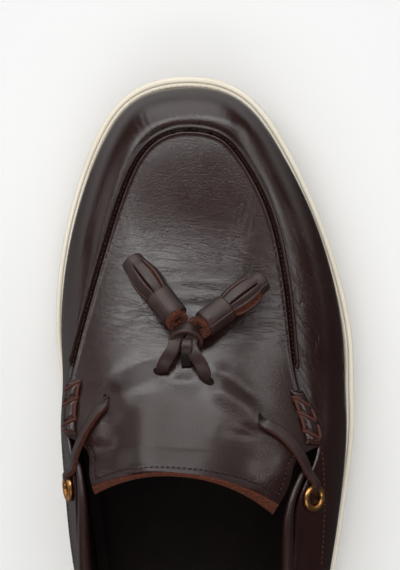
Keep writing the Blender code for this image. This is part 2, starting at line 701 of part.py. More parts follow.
def add_collar(group):
    """The padded collar roll on the wall's top edge, from one wing round the heel to the other."""
    rings = []
    step = 0.05
    ribs = stations(RIB_COUNT - WING - COLLAR_START, RIB_COUNT + WING + COLLAR_START)
    for q in ribs:
        run = (top_line(q + step) - top_line(q - step)).normalized()
        up = Vector((0, 0, 1))
        inwards = up.cross(run).normalized()
        if inwards.dot(sole_outline(q, WALL) - sole_outline(q)) < 0:
            inwards.negate()
        past_end = min(q - ribs[0], ribs[-1] - q)
        full = COLLAR_FADE + (1 - COLLAR_FADE) * smooth_step(past_end, 0.0, COLLAR_RISE)
        width, height = COLLAR_WIDTH * (1 + full) / 2, COLLAR_HEIGHT * full
        centre = top_line(q) + inwards * (WALL / 2) + up * (1.5 * CLEARANCE + height / 2)
        rings.append([
            centre + inwards * (width / 2 * math.cos(turn)) + up * (height / 2 * math.sin(turn))
            for turn in (2 * math.pi * side / COLLAR_SIDES for side in range(COLLAR_SIDES))
        ])
    loft("collar_roll", rings, "leather", group)


def strap(name, centres, faces, group, per_row=3):
    """A flat lace with rounded edges on a smooth curve through its centres, each with the way its face looks."""
    path, looks = OpenSpline(centres), OpenSpline(faces)
    rings = []
    for at in [step / per_row for step in range((len(centres) - 1) * per_row + 1)]:
        here = Vector(path(at))
        run = Vector(path(at + 0.05) - path(at - 0.05)).normalized()
        face = Vector(looks(at))
        face = (face - run * face.dot(run)).normalized()
        side = run.cross(face)
        rings.append([
            here + side * (x * LACE_WIDTH / 2) + face * (z * LACE_THICKNESS / 2)
            for x, z in LACE_CORNERS
        ])
    return loft(name, rings, "strap_leather", group)


def eyelet_frame(side):
    """The eyelet's centre on the wall, and the ways forwards, up the wall and outwards."""
    rib, turn = {name: (rib, turn) for name, rib, turn in EYELETS}[side]
    frame = wall_frame(rib, turn)
    along, up, out = (frame.col[i].to_3d() for i in range(3))
    return frame.translation, along if along.y > 0 else -along, up, out


def add_laces(group):
    for side, rows in LACES.items():
        centre, forwards, up, out = eyelet_frame(side)
        centres, faces = [], []
        for row in rows:
            at = dict(zip(LACE_COLUMNS, row))
            if at["by"] == "apron":
                centres.append(on_apron(at["first"], at["second"], at["lift"] * LACE_THICKNESS))
                faces.append(apron_normal(at["first"], at["second"]))
            else:
                away = forwards * at["first"] + up * at["second"] + out * at["lift"]
                centres.append(centre + away * EYELET_FLANGE_RADIUS)
                faces.append(out)
        strap(f"lace_{side}", centres, faces, group)


def add_knot(group, cutters):
    """The lace's knot: a leaning band round the lace's two ends and the fold between them, joined in one solid."""
    q, share = KNOT_SEAT
    up = apron_normal(q, share)
    centre = on_apron(q, share, KNOT_LIFT)
    across = Vector((1, 0, 0))
    across = (across - up * across.dot(up)).normalized()
    forwards = up.cross(across)
    lean = math.radians(KNOT_LEAN)
    tall = up * math.cos(lean) + forwards * math.sin(lean)
    deep = forwards * math.cos(lean) - up * math.sin(lean)
    rings = []
    for turn in (2 * math.pi * side / KNOT_SIDES for side in range(KNOT_SIDES)):
        ring = []
        for depth, shrink in ((-0.5, 0.0), (0.5, 0.0), (0.5, 1.0), (-0.5, 1.0)):
            wide, high = KNOT_WIDTH / 2 - shrink * LACE_THICKNESS, KNOT_HEIGHT / 2 - shrink * LACE_THICKNESS
            ring.append(centre + across * (wide * math.cos(turn)) + tall * (high * math.sin(turn))
                        + deep * (depth * KNOT_BAND))
        rings.append(ring)
    knot = loft("lace_knot", rings, "strap_leather", group, closed=True)
    for name, rows in LACE_ENDS.items():
        centres = [
            centre + across * (x * KNOT_WIDTH) + forwards * (y * KNOT_BAND) + up * (z * KNOT_HEIGHT)
            for x, y, z in rows
        ]
        end = strap(f"lace_end_{name}", centres, [up + forwards * -0.5] * len(rows), cutters)
        end.display_type = "WIRE"
        end.hide_render = True
        joined = knot.modifiers.new(name, "BOOLEAN")
        joined.operation = "UNION"
        joined.use_self = True
        joined.object = end


def add_tassels(group):
    """Each tassel is a rolled head in a band, strips cut free between slits, and a closed far end."""
    outline = columns(TASSEL_OUTLINE, TASSEL_COLUMNS)
    for side, (head, far) in TASSELS.items():
        start, end = (on_apron(q, share, lift * TASSEL_RADIUS) for q, share, lift in (head, far))
        axis = (end - start).normalized()
        level = axis.cross(Vector((0, 0, 1))).normalized()
        upright = level.cross(axis).normalized()
        rings = []
        for along, radius, opened in zip(outline["share"], outline["radius"], outline["open"]):
            ring = []
            for strip in range(TASSEL_SLITS):
                for share in SLIT_SHARES:
                    turn = 2 * math.pi * (strip + share) / TASSEL_SLITS
                    reach = TASSEL_RADIUS * radius - (SLIT_DEPTH * opened if share == 0 else 0.0)
                    ring.append(start.lerp(end, along) + level * (reach * math.cos(turn))
                                + upright * (reach * math.sin(turn)))
            rings.append(ring)
        loft(f"tassel_{side}", rings, "strap_leather", group)


def main():
    clear_scene()
    for name in COLOURS:
        material(name)
    loafer = bpy.data.collections.new("tassel_loafer")
    cutters = bpy.data.collections.new("cutters")
    bpy.context.scene.collection.children.link(loafer)
    bpy.context.scene.collection.children.link(cutters)
    add_sole(loafer)
    add_insole(loafer)
    add_upper(loafer, cutters)
    add_eyelets(loafer)
    add_seam_beads(loafer)
    add_collar(loafer)
    add_laces(loafer)
    add_knot(loafer, cutters)
    add_tassels(loafer)


main()
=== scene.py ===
# %% [markdown]
# # A tassel loafer, dressed around its CAD solids
#
# This lesson finishes a man's right tassel loafer: dark brown leather on a cream rubber cup sole, with
# laces in brass eyelets and two leather tassels. The CAD model gives the sizes. Each cell below makes
# one piece or one finish, so that the parts can be read, changed and run one after another.
#
# The frame comes first. Every piece is made in metres, toe to +Y, outer side to +X, floor at Z 0.

import math

import bmesh
import bpy
import numpy as np
from mathutils import Matrix, Vector
from mathutils.bvhtree import BVHTree


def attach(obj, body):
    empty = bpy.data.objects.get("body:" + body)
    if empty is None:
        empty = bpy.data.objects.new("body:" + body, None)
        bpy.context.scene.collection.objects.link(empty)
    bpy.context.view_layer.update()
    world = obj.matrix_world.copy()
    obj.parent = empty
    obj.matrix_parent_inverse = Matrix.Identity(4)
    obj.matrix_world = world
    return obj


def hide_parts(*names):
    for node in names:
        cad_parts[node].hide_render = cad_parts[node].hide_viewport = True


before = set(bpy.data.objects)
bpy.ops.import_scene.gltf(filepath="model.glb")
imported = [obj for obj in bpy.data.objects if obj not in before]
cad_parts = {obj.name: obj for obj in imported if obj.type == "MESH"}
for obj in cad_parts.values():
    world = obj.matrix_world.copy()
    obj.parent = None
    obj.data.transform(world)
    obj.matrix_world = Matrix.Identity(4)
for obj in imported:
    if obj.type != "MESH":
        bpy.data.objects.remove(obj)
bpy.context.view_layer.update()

# %% [markdown]
# ## The camera
#
# The photograph looks almost straight down on the front of the shoe, from a little over a metre away.
# A long lens keeps the outline free of perspective. The camera leans 4 degrees to the outer side, which
# is why the cream sole shows wider there than on the inner side.

# %% Set the camera
CAMERA_TARGET = Vector((-0.00095, 0.0744, 0.030))
CAMERA_DISTANCE = 1.2
CAMERA_LEAN = math.radians(4)
SENSOR_WIDTH = 36  # mm, as the lens is
LENS = 209.8

camera = bpy.data.objects.new("camera", bpy.data.cameras.new("camera"))
camera.data.sensor_width = SENSOR_WIDTH
camera.data.lens = LENS
camera.data.clip_start = 0.05
camera_offset = Vector((math.sin(CAMERA_LEAN), 0, math.cos(CAMERA_LEAN))) * CAMERA_DISTANCE
camera.matrix_world = Matrix.Translation(CAMERA_TARGET + camera_offset) @ Matrix.Rotation(CAMERA_LEAN, 4, "Y")
bpy.context.scene.collection.objects.link(camera)
bpy.context.scene.camera = camera
print("camera at", [round(v, 3) for v in camera.matrix_world.translation])

# %% [markdown]
# ## The shoe's own sizes
#
# The CAD model was drawn from a few named sizes and short tables of shares. The same values are
# repeated here, so that a seam, a stitch or a crease can be placed in the shoe's own sizes and still
# lies on the shoe.

# %% Name the sizes
LENGTH = 0.300
BALL_WIDTH = 0.109
INSTEP_HEIGHT = 0.080
LAST_OFFSET = 0.0096  # share of the ball width that the last's middle lies off the sole's middle
CLEARANCE = 0.0003

FORE_RIM_HEIGHT = 0.021
HEEL_RIM_HEIGHT = 0.029
CUP_DEPTH = 0.012
RIM_WIDTH = 0.0032
RIM_STEP = 0.0006
TOE_SPRING = 0.007
HEEL_BEVEL = 0.0015
ARCH_RISE = 0.0020
SOLE_TAPER = 0.0030
TREAD_EDGE = 0.0050
SIDE_LINE = 0.0005
TOE_SPRING_START = 0.20  # the next five are shares of LENGTH from the middle
HEEL_BEVEL_START = -0.42
HALF_LENGTH = 0.50
ARCH_SPAN = (-0.22, -0.06, -0.02, 0.09)
RIM_RISE_SPAN = (-0.30, 0.12)

WALL = 0.0020
BULGE = 0.0015
INSOLE_THICKNESS = 0.0030
COLLAR_WIDTH = 0.0062
COLLAR_HEIGHT = 0.0056
COLLAR_FADE = 0.45
LACE_WIDTH = 0.0044
LACE_THICKNESS = 0.0019
EYELET_RADIUS = 0.0050
TASSEL_RADIUS = 0.0049
KNOT_WIDTH = 0.0116
KNOT_HEIGHT = 0.0080
KNOT_BAND = 0.0044
KNOT_LIFT = 0.0052

# %% Repeat the rib table
# Along is a share of LENGTH from the middle, across a share of BALL_WIDTH, height a share of
# INSTEP_HEIGHT, rim a share of RIM_WIDTH and bulge a share of BULGE. Roll is in degrees.
RIB_COLUMNS = ("sole_along", "sole_across", "top_along", "top_across", "top_height", "rim", "bulge", "roll")
RIBS = (
    ("heel_back", -0.500, -0.020, -0.458, -0.016, 0.920, 1.00, 1.8, 35),
    ("heel_inner", -0.463, -0.268, -0.424, -0.188, 0.895, 1.00, 1.8, 35),
    ("heel_side_inner", -0.360, -0.369, -0.343, -0.286, 0.800, 1.00, 1.8, 35),
    ("ankle_inner", -0.217, -0.382, -0.227, -0.334, 0.705, 1.00, 2.0, 35),
    ("arch_inner", -0.083, -0.425, -0.083, -0.392, 0.705, 1.00, 2.9, 40),
    ("eyelet_inner", 0.007, -0.460, 0.007, -0.406, 0.740, 1.00, 2.6, 50),
    ("wing_rear_inner", 0.080, -0.484, 0.070, -0.440, 0.690, 1.00, 1.8, 62),
    ("wing_front_inner", 0.130, -0.492, 0.126, -0.442, 0.650, 1.00, 0.9, 68),
    ("ball_inner", 0.207, -0.510, 0.208, -0.393, 0.600, 1.00, 0.7, 70),
    ("forepart_inner", 0.320, -0.473, 0.310, -0.3165, 0.550, 1.00, 0.6, 74),
    ("toe_side_inner", 0.430, -0.369, 0.397, -0.2265, 0.530, 1.10, 0.4, 78),
    ("toe_turn_inner", 0.4855, -0.236, 0.430, -0.128, 0.525, 1.20, 0.4, 80),
    ("toe_tip", 0.500, -0.062, 0.4355, -0.042, 0.525, 1.25, 0.4, 80),
    ("toe_turn_outer", 0.4855, 0.107, 0.428, 0.056, 0.525, 1.20, 0.8, 80),
    ("toe_side_outer", 0.430, 0.2455, 0.396, 0.141, 0.530, 1.10, 1.0, 78),
    ("forepart_outer", 0.320, 0.3875, 0.318, 0.241, 0.545, 1.00, 1.5, 74),
    ("ball_outer", 0.203, 0.4765, 0.205, 0.293, 0.575, 1.00, 1.0, 72),
    ("wing_front_outer", 0.128, 0.4885, 0.1237, 0.3267, 0.605, 1.00, 1.0, 68),
    ("wing_rear_outer", 0.070, 0.489, 0.0575, 0.382, 0.630, 1.00, 1.2, 64),
    ("eyelet_outer", -0.007, 0.464, -0.003, 0.323, 0.700, 1.00, 1.9, 52),
    ("waist_outer", -0.092, 0.428, -0.087, 0.302, 0.680, 1.00, 2.0, 42),
    ("ankle_outer", -0.222, 0.370, -0.228, 0.270, 0.672, 1.00, 1.8, 36),
    ("heel_side_outer", -0.360, 0.330, -0.343, 0.242, 0.785, 1.00, 1.8, 35),
    ("heel_outer", -0.463, 0.230, -0.424, 0.152, 0.885, 1.00, 1.8, 35),
)
RIB_COUNT = len(RIBS)
WING = 6  # the rib where the apron leaves the wall and becomes the tongue
TIP = 12  # the rib at the toe's tip; rib k on the inner side faces rib RIB_COUNT - k

RIDGE_COLUMNS = ("along", "across", "height")
APRON_RIDGE = (
    ("wing_rear", 0.070, -0.040, 0.868),
    ("wing_front", 0.130, -0.039, 0.775),
    ("ball", 0.208, -0.036, 0.684),
    ("forepart", 0.315, -0.029, 0.602),
    ("toe_side", 0.3975, -0.034, 0.556),
    ("toe_turn", 0.4295, -0.037, 0.534),
    ("toe_tip", 0.4355, -0.042, 0.525),
)
TONGUE_COLUMNS = (
    "inner_along", "inner_across", "inner_height",
    "along", "across", "height",
    "outer_along", "outer_across", "outer_height",
)
TONGUE = (
    ("root", 0.053, -0.366, 0.755, 0.055, -0.039, 0.905, 0.042, 0.312, 0.725),
    ("middle", 0.028, -0.356, 0.795, 0.040, -0.038, 0.953, 0.012, 0.287, 0.757),
    ("edge", 0.002, -0.337, 0.817, 0.0255, -0.035, 1.000, -0.021, 0.236, 0.785),
)
SECTION_POWER = 2.2  # how square the apron's arch is
print(RIB_COUNT, "ribs,", len(APRON_RIDGE), "rows of ridge,", len(TONGUE), "rows of tongue")

# %% [markdown]
# ## Curves and surfaces
#
# A spline through the rows of a table gives every value between them. Two such surfaces make the whole
# upper: the wall, from the sole's rim up to the top line, and the apron, from one side's top line over
# the foot to the other's. NumPy evaluates thousands of points at once, so a fine mesh costs no more
# lines than a coarse one.

# %% Splines through a table
def columns(rows, names):
    return {name: np.array([row[1 + i] for row in rows], float) for i, name in enumerate(names)}


class RowSpline:
    """A smooth curve through numbered rows, closed on itself or straight at its two ends."""

    def __init__(self, values, closed=False):
        self.values = np.asarray(values, float)
        self.closed = closed
        count = len(self.values)
        system = np.eye(count)
        turn = np.zeros_like(self.values)
        for i in range(count):
            if closed or 0 < i < count - 1:
                before, after = (i - 1) % count, (i + 1) % count
                system[i] = 0
                system[i, [before, i, after]] = 1 / 6, 4 / 6, 1 / 6
                turn[i] = self.values[before] - 2 * self.values[i] + self.values[after]
        self.bend = np.linalg.solve(system, turn)

    def __call__(self, q):
        q = np.asarray(q, float)
        count = len(self.values)
        i = np.floor(q).astype(int)
        if not self.closed:
            i = np.clip(i, 0, count - 2)
        f = q - i
        a, b = i % count, (i + 1) % count
        if self.values.ndim > 1:
            f = f[..., None]
        return (
            (1 - f) * self.values[a] + f * self.values[b]
            + ((1 - f) ** 3 - (1 - f)) * self.bend[a] / 6
            + (f**3 - f) * self.bend[b] / 6
        )


RIB = {name: RowSpline(values, closed=True) for name, values in columns(RIBS, RIB_COLUMNS).items()}
ridge_rows = columns(APRON_RIDGE[::-1], RIDGE_COLUMNS)
tongue_rows = columns(TONGUE, TONGUE_COLUMNS)
RIDGE = [RowSpline(np.concatenate([ridge_rows[name], tongue_rows[name]])) for name in RIDGE_COLUMNS]
TONGUE_SIDES = {}
for side, wing in (("inner", WING), ("outer", RIB_COUNT - WING)):
    TONGUE_SIDES[side] = [
        RowSpline(np.concatenate([[RIB[f"top_{name}"](wing)], tongue_rows[f"{side}_{name}"]]))
        for name in ("along", "across", "height")
    ]
print("the ridge is at", round(float(RIDGE[2](TIP - WING)) * INSTEP_HEIGHT * 1000, 1), "mm over the wings")

# %% Small vector helpers
def unit(vectors):
    return vectors / np.maximum(np.linalg.norm(vectors, axis=-1, keepdims=True), 1e-12)


def smooth_step(value, low, high):
    share = np.clip((np.asarray(value, float) - low) / (high - low), 0.0, 1.0)
    return share * share * (3 - 2 * share)


def band(value, rise, full, fall, end):
    """1 between full and fall, with soft steps from rise and to end."""
    return smooth_step(value, rise, full) * (1 - smooth_step(value, fall, end))


def bump(value, middle, half_width):
    """A soft bump of height 1 at the middle, falling to nothing over about twice the half width."""
    return np.exp(-(((value - middle) / half_width) ** 2))


def place(along, across, height=0.0):
    """The point at shares of the shoe's length, ball width and instep height."""
    along, across, height = np.broadcast_arrays(
        np.asarray(along, float), np.asarray(across, float), np.asarray(height, float)
    )
    return np.stack([(across + LAST_OFFSET) * BALL_WIDTH, along * LENGTH, height * INSTEP_HEIGHT], -1)


# %% The sole's levels and outline
def toe_rise(along):
    return TOE_SPRING * np.maximum(0.0, (along - TOE_SPRING_START) / (HALF_LENGTH - TOE_SPRING_START)) ** 2


def tread_height(y):
    along = y / LENGTH
    heel = np.maximum(0.0, (HEEL_BEVEL_START - along) / (HALF_LENGTH + HEEL_BEVEL_START)) ** 2
    return toe_rise(along) + HEEL_BEVEL * heel + ARCH_RISE * band(along, *ARCH_SPAN)


def rim_height(y):
    along = y / LENGTH
    heel = 1 - smooth_step(along, *RIM_RISE_SPAN)
    return FORE_RIM_HEIGHT + (HEEL_RIM_HEIGHT - FORE_RIM_HEIGHT) * heel + toe_rise(along)


def cup_floor_height(y):
    return rim_height(y) - CUP_DEPTH


def sole_outline(q, inset=0.0):
    """The sole's outline at rib number q, moved inwards by inset, at Z 0."""
    step = 0.01
    here, ahead, behind = (
        place(RIB["sole_along"](at), RIB["sole_across"](at)) for at in (q, q + step, q - step)
    )
    run = unit(ahead - behind)
    inwards = np.stack([run[..., 1], -run[..., 0], np.zeros_like(run[..., 0])], -1)
    return here + inwards * np.asarray(inset, float)[..., None]


def rim_inset(q):
    return RIM_WIDTH * RIB["rim"](q)


# %% The wall and the apron
def top_line(q):
    return place(RIB["top_along"](q), RIB["top_across"](q), RIB["top_height"](q))


def wall_point(q, turn):
    """The wall's outer face at rib number q, from the rim (turn 0) to the top line (turn 1)."""
    q, turn = np.broadcast_arrays(np.asarray(q, float), np.asarray(turn, float))
    base = sole_outline(q, rim_inset(q) + CLEARANCE)
    outwards = unit(sole_outline(q) - base)
    top = top_line(q)
    low = rim_height(base[..., 1])
    angle = np.radians(RIB["roll"](q))
    inward = (1 - np.cos(angle * turn)) / (1 - np.cos(angle))
    upward = np.sin(angle * turn) / np.sin(angle)
    swell = BULGE * RIB["bulge"](q) * np.sin(math.pi * np.clip(upward, 0, 1) ** 0.8)
    spot = base * (1 - inward[..., None]) + top * inward[..., None] + outwards * swell[..., None]
    spot[..., 2] = low + (top[..., 2] - low) * upward
    return spot


def apron_point(q, share):
    """A point of the apron, or of the tongue below WING. Share runs from the inner edge to the outer edge."""
    q, share = np.broadcast_arrays(np.asarray(q, float), np.asarray(share, float))
    ridge = place(*(spline(TIP - q) for spline in RIDGE))
    on_apron_rows = (q >= WING)[..., None]
    tongue = {
        side: place(*(spline(WING - np.minimum(q, WING)) for spline in TONGUE_SIDES[side]))
        for side in ("inner", "outer")
    }
    inner = np.where(on_apron_rows, top_line(q), tongue["inner"])
    outer = np.where(on_apron_rows, top_line(RIB_COUNT - q), tongue["outer"])
    chord = inner + (outer - inner) * share[..., None]
    arch = 1 - np.abs(2 * share - 1) ** SECTION_POWER
    return chord + (ridge - (inner + outer) / 2) * arch[..., None]


def apron_normal(q, share):
    step = 0.02
    across = apron_point(q, np.minimum(share + step, 1.0)) - apron_point(q, np.maximum(share - step, 0.0))
    along = apron_point(np.asarray(q) + step, share) - apron_point(np.asarray(q) - step, share)
    return unit(np.cross(across, along))


def on_apron(q, share, lift):
    return apron_point(q, share) + apron_normal(q, share) * np.asarray(lift, float)[..., None]


print("apron's middle over the ball:", np.round(apron_point(8, 0.5) * 1000, 1))

# %% [markdown]
# ## Making meshes
#
# Most pieces here are grids or tubes of points. One helper turns such points into an object, gives it
# its materials, lets it ride on the shoe's one body and hides the CAD solid that it stands for. The
# object stays at the origin, and its place is in its mesh, which keeps every piece in the shoe's frame.

# %% Grids, tubes and pieces
def grid_faces(rows, cols, start=0, wrap=False):
    """Quads over a grid of points, row by row. Wrap joins each row's last point to its first."""
    i, j = np.meshgrid(np.arange(rows - 1), np.arange(cols if wrap else cols - 1), indexing="ij")
    k = (j + 1) % cols
    quads = np.stack([i * cols + j, i * cols + k, (i + 1) * cols + k, (i + 1) * cols + j], -1)
    return quads.reshape(-1, 4) + start


def make_piece(name, points, faces, finishes, replaces=(), face_finish=None):
    mesh = bpy.data.meshes.new(name)
    mesh.from_pydata(np.asarray(points, float).tolist(), [], [tuple(face) for face in faces])
    work = bmesh.new()
    work.from_mesh(mesh)
    bmesh.ops.recalc_face_normals(work, faces=work.faces)
    work.to_mesh(mesh)
    work.free()
    mesh.shade_smooth()
    piece = bpy.data.objects.new(name, mesh)
    bpy.context.scene.collection.objects.link(piece)
    for finish in finishes:
        mesh.materials.append(bpy.data.materials[finish])
    if face_finish is not None:
        mesh.polygons.foreach_set("material_index", np.asarray(face_finish, np.int32))
    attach(piece, "root")
    if replaces:
        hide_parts(*replaces)
    return piece


def set_mask(piece, name, values):
    """Stores one number a point, which a material reads by its name."""
    mask = piece.data.attributes.new(name, "FLOAT", "POINT")
    mask.data.foreach_set("value", np.asarray(values, np.float32))


# %% Straps, threads and rings along a path
def even_path(points, count):
    """A smooth curve through the points, cut into even steps."""
    curve = RowSpline(points)(np.linspace(0, len(points) - 1, 40 * len(points)))
    walked = np.concatenate([[0], np.cumsum(np.linalg.norm(np.diff(curve, axis=0), axis=1))])
    at = np.linspace(0, walked[-1], count)
    return np.stack([np.interp(at, walked, curve[:, k]) for k in range(3)], -1)


def path_length(path):
    return float(np.linalg.norm(np.diff(path, axis=0), axis=1).sum())


def swept_rings(path, looks, half_widths, half_heights, section):
    """Rings of a flat section carried along a path, with its second axis towards looks."""
    run = unit(np.gradient(path, axis=0))
    face = unit(looks - run * (looks * run).sum(-1, keepdims=True))
    side = np.cross(run, face)
    wide = np.broadcast_to(half_widths, len(path))[:, None, None]
    high = np.broadcast_to(half_heights, len(path))[:, None, None]
    sideways = side[:, None] * section[None, :, :1] * wide
    upwards = face[:, None] * section[None, :, 1:] * high
    return path[:, None] + sideways + upwards


def tube_faces(rings, size, start=0, caps=True):
    faces = [tuple(face) for face in grid_faces(rings, size, start, wrap=True)]
    if caps:
        faces.append(tuple(range(start, start + size)))
        faces.append(tuple(range(start + (rings - 1) * size, start + rings * size)))
    return faces


def round_section(sides, squareness=2.0):
    """A closed section in the unit square: 2 is an ellipse, and more is closer to a rectangle."""
    turn = np.arange(sides) * 2 * math.pi / sides
    power = 2 / squareness
    return np.stack([np.sign(np.cos(turn)) * np.abs(np.cos(turn)) ** power,
                     np.sign(np.sin(turn)) * np.abs(np.sin(turn)) ** power], -1)


STRAP_SIDES = 24
STRAP_SECTION = round_section(STRAP_SIDES, 5.0)
STRAP_EDGES = np.abs(STRAP_SECTION[:, 0]) > 0.93  # the points on the strap's two cut edges


def strap_finish(rings):
    """Finish 1, the cut edge, on the strap's two sides, and finish 0, its skin, elsewhere."""
    cut = STRAP_EDGES & np.roll(STRAP_EDGES, -1)
    return np.concatenate([np.tile(cut.astype(int), rings - 1), [1, 1]])


def make_strap(name, path, looks, width, thickness, replaces=(), cut=True):
    """A flat leather lace: smooth skin above and below, and raw cut edges unless they are dyed."""
    rings = swept_rings(path, looks, np.asarray(width) / 2, np.asarray(thickness) / 2, STRAP_SECTION)
    return make_piece(name, rings.reshape(-1, 3), tube_faces(len(path), STRAP_SIDES),
                      ("lace_leather", "cut_leather"), replaces, strap_finish(len(path)) * int(cut))


THREAD_SIDES = 10


def make_thread(name, routes, radius):
    """Waxed thread along one or more routes, each a path and the ways that it faces, as one piece."""
    points, faces = [], []
    for path, looks in routes:
        faces += tube_faces(len(path), THREAD_SIDES, sum(len(block) for block in points))
        points.append(swept_rings(path, looks, radius, radius, round_section(THREAD_SIDES)).reshape(-1, 3))
    return make_piece(name, np.concatenate(points), faces, ("hand_thread",))


STITCH_SIDES = 6
STITCH_SWELL = np.array([0.35, 0.85, 1.0, 0.85, 0.35])  # its thickness from end to end


def stitch_points(path, looks, pitch, length, radius):
    """Small rounded stitches at an even pitch along a path, as points and faces of one mesh."""
    count = max(2, round(path_length(path) / pitch))
    walked = np.concatenate([[0], np.cumsum(np.linalg.norm(np.diff(path, axis=0), axis=1))])
    points, faces = [], []
    for centre in (np.arange(count) + 0.5) * walked[-1] / count:
        at = centre + np.linspace(-0.5, 0.5, len(STITCH_SWELL)) * length
        spot = np.stack([np.interp(at, walked, path[:, k]) for k in range(3)], -1)
        look = np.stack([np.interp(at, walked, looks[:, k]) for k in range(3)], -1)
        sunk = spot - unit(look) * (radius * (1 - STITCH_SWELL))[:, None] * 1.2
        thick = radius * STITCH_SWELL
        rings = swept_rings(sunk, look, thick, thick, round_section(STITCH_SIDES))
        faces += tube_faces(len(thick), STITCH_SIDES, len(points) * len(thick) * STITCH_SIDES)
        points.append(rings.reshape(-1, 3))
    return np.concatenate(points), faces

# %% [markdown]
# ## Finishes
#
# Each finish is a Principled material. What several of them share is a node group with named inputs,
# built once: leather grain, the fine creases of worn leather, and rough suede fibres. A group gives out
# only values, and the shader stays in the material.

# %% A helper for node trees
NODE_STEP = (180, -220)  # between nodes in the editor's rows of eight


class Nodes:
    """Adds nodes to a tree in rows, with plain values or links as inputs."""

    def __init__(self, tree):
        self.tree = tree
        self.count = 0

    def feed(self, socket, value):
        if isinstance(value, bpy.types.NodeSocket):
            self.tree.links.new(value, socket)
        else:
            socket.default_value = value

    def add(self, kind, inputs=None, **settings):
        node = self.tree.nodes.new(kind)
        node.location = (-1400 + NODE_STEP[0] * (self.count % 8), NODE_STEP[1] * (self.count // 8))
        self.count += 1
        for name, value in settings.items():
            setattr(node, name, value)
        for name, value in (inputs or {}).items():
            self.feed(node.inputs[name], value)
        return node

    def math(self, operation, *values, clamp=False):
        node = self.add("ShaderNodeMath", dict(enumerate(values)), operation=operation, use_clamp=clamp)
        return node.outputs[0]

    def span(self, value, low, high, to_low=0.0, to_high=1.0):
        inputs = {"Value": value, "From Min": low, "From Max": high, "To Min": to_low, "To Max": to_high}
        return self.add("ShaderNodeMapRange", inputs, clamp=True).outputs[0]

    def blend(self, factor, first, second):
        """Mixes two colours, each a link or its red, green and blue."""
        node = self.add("ShaderNodeMix", data_type="RGBA")
        self.feed(node.inputs[0], factor)
        for socket, colour in ((node.inputs[6], first), (node.inputs[7], second)):
            self.feed(socket, (*colour, 1.0) if isinstance(colour, tuple) else colour)
        return node.outputs[2]

    def own_place(self):
        """Where the point lies on its piece, in metres. Every texture here is laid out by it."""
        return self.add("ShaderNodeTexCoord").outputs["Object"]

    def noise(self, vector, scale, detail, **more):
        inputs = {"Vector": vector, "Scale": scale, "Detail": detail, **more}
        return self.add("ShaderNodeTexNoise", inputs).outputs


def make_group(name, inputs, outputs):
    """A shader node group with float inputs and outputs, and the helper that fills it."""
    group = bpy.data.node_groups.new(name, "ShaderNodeTree")
    for label, value in inputs.items():
        group.interface.new_socket(label, in_out="INPUT", socket_type="NodeSocketFloat").default_value = value
    for label in outputs:
        group.interface.new_socket(label, in_out="OUTPUT", socket_type="NodeSocketFloat")
    nodes = Nodes(group)
    start, end = nodes.add("NodeGroupInput"), nodes.add("NodeGroupOutput")
    return nodes, start.outputs, end.inputs


# %% [markdown]
# ### Leather grain
#
# Real grain is a net of shallow furrows round small pebbles, with pores in it. Modelled, it would take
# millions of faces, so it is a height for a bump. A Voronoi texture's distance to its cell edges gives
# the net, and noise bends it so that no two pebbles are alike. The tone lets a material vary its colour
# in large soft patches.

# %% The leather_grain group
GRAIN_WARP = 0.0006  # metres that the noise may bend the net

nodes, given, out = make_group("leather_grain", {"Size": 0.0009, "Unevenness": 0.6}, ("Height", "Tone"))
here = nodes.own_place()
scale = nodes.math("DIVIDE", 1.0, given["Size"])
warp = nodes.noise(here, 700.0, 2.0)["Color"]
bent = nodes.add("ShaderNodeVectorMath", {0: warp, 1: (GRAIN_WARP,) * 3}, operation="MULTIPLY").outputs[0]
bent = nodes.add("ShaderNodeVectorMath", {0: here, 1: bent}, operation="ADD").outputs[0]
pebbles = nodes.add("ShaderNodeTexVoronoi", {"Vector": bent, "Scale": scale}, feature="DISTANCE_TO_EDGE")
pebble_height = nodes.span(pebbles.outputs["Distance"], 0.0, 0.35)
pores = nodes.noise(here, 2600.0, 3.0, Roughness=0.65)["Fac"]
patches = nodes.noise(here, 55.0, 3.0, Roughness=0.6)["Fac"]
pebble_height = nodes.math("MULTIPLY", pebble_height, nodes.span(patches, 0.35, 0.65, 0.35, 1.0))
nodes.feed(out["Height"], nodes.math("MULTIPLY_ADD", pores, given["Unevenness"], pebble_height))
nodes.feed(out["Tone"], nodes.span(patches, 0.3, 0.7))
print("leather_grain made")

# %% [markdown]
# ### Fine creases
#
# Where leather bends it folds into short wavy lines across the bend. The few large ones are modelled
# later on the mesh. For the many small ones, noise stretched along the crease's direction and cut to its
# middle value leaves thin lines of that kind.

# %% The fine_creases group
nodes, given, out = make_group(
    "fine_creases", {"Turn": 0.0, "Spacing": 0.0016, "Stretch": 5.0, "Thinness": 0.06}, ("Height",)
)
here = nodes.own_place()
turned = nodes.add("ShaderNodeVectorRotate", {"Vector": here, "Angle": given["Turn"]}, rotation_type="Z_AXIS")
parts = nodes.add("ShaderNodeSeparateXYZ", {"Vector": turned.outputs[0]}).outputs
squeezed = nodes.add("ShaderNodeCombineXYZ", {
    "X": nodes.math("DIVIDE", parts["X"], given["Stretch"]), "Y": parts["Y"],
    "Z": nodes.math("DIVIDE", parts["Z"], 3.0),
}).outputs[0]
scale = nodes.math("DIVIDE", 1.0, nodes.math("MULTIPLY", given["Spacing"], 2.0))
folds = nodes.noise(squeezed, scale, 2.5, Distortion=0.5)["Fac"]
away = nodes.math("ABSOLUTE", nodes.math("SUBTRACT", folds, 0.5))
nodes.feed(out["Height"], nodes.span(away, 0.0, given["Thinness"]))
print("fine_creases made")

# %% [markdown]
# ### Suede fibres
#
# A cut edge of leather is a felt of short fibres. Hair could be grown on it, but on edges 2 mm wide two
# layers of noise, one much finer than the other, read as nap at far less cost.

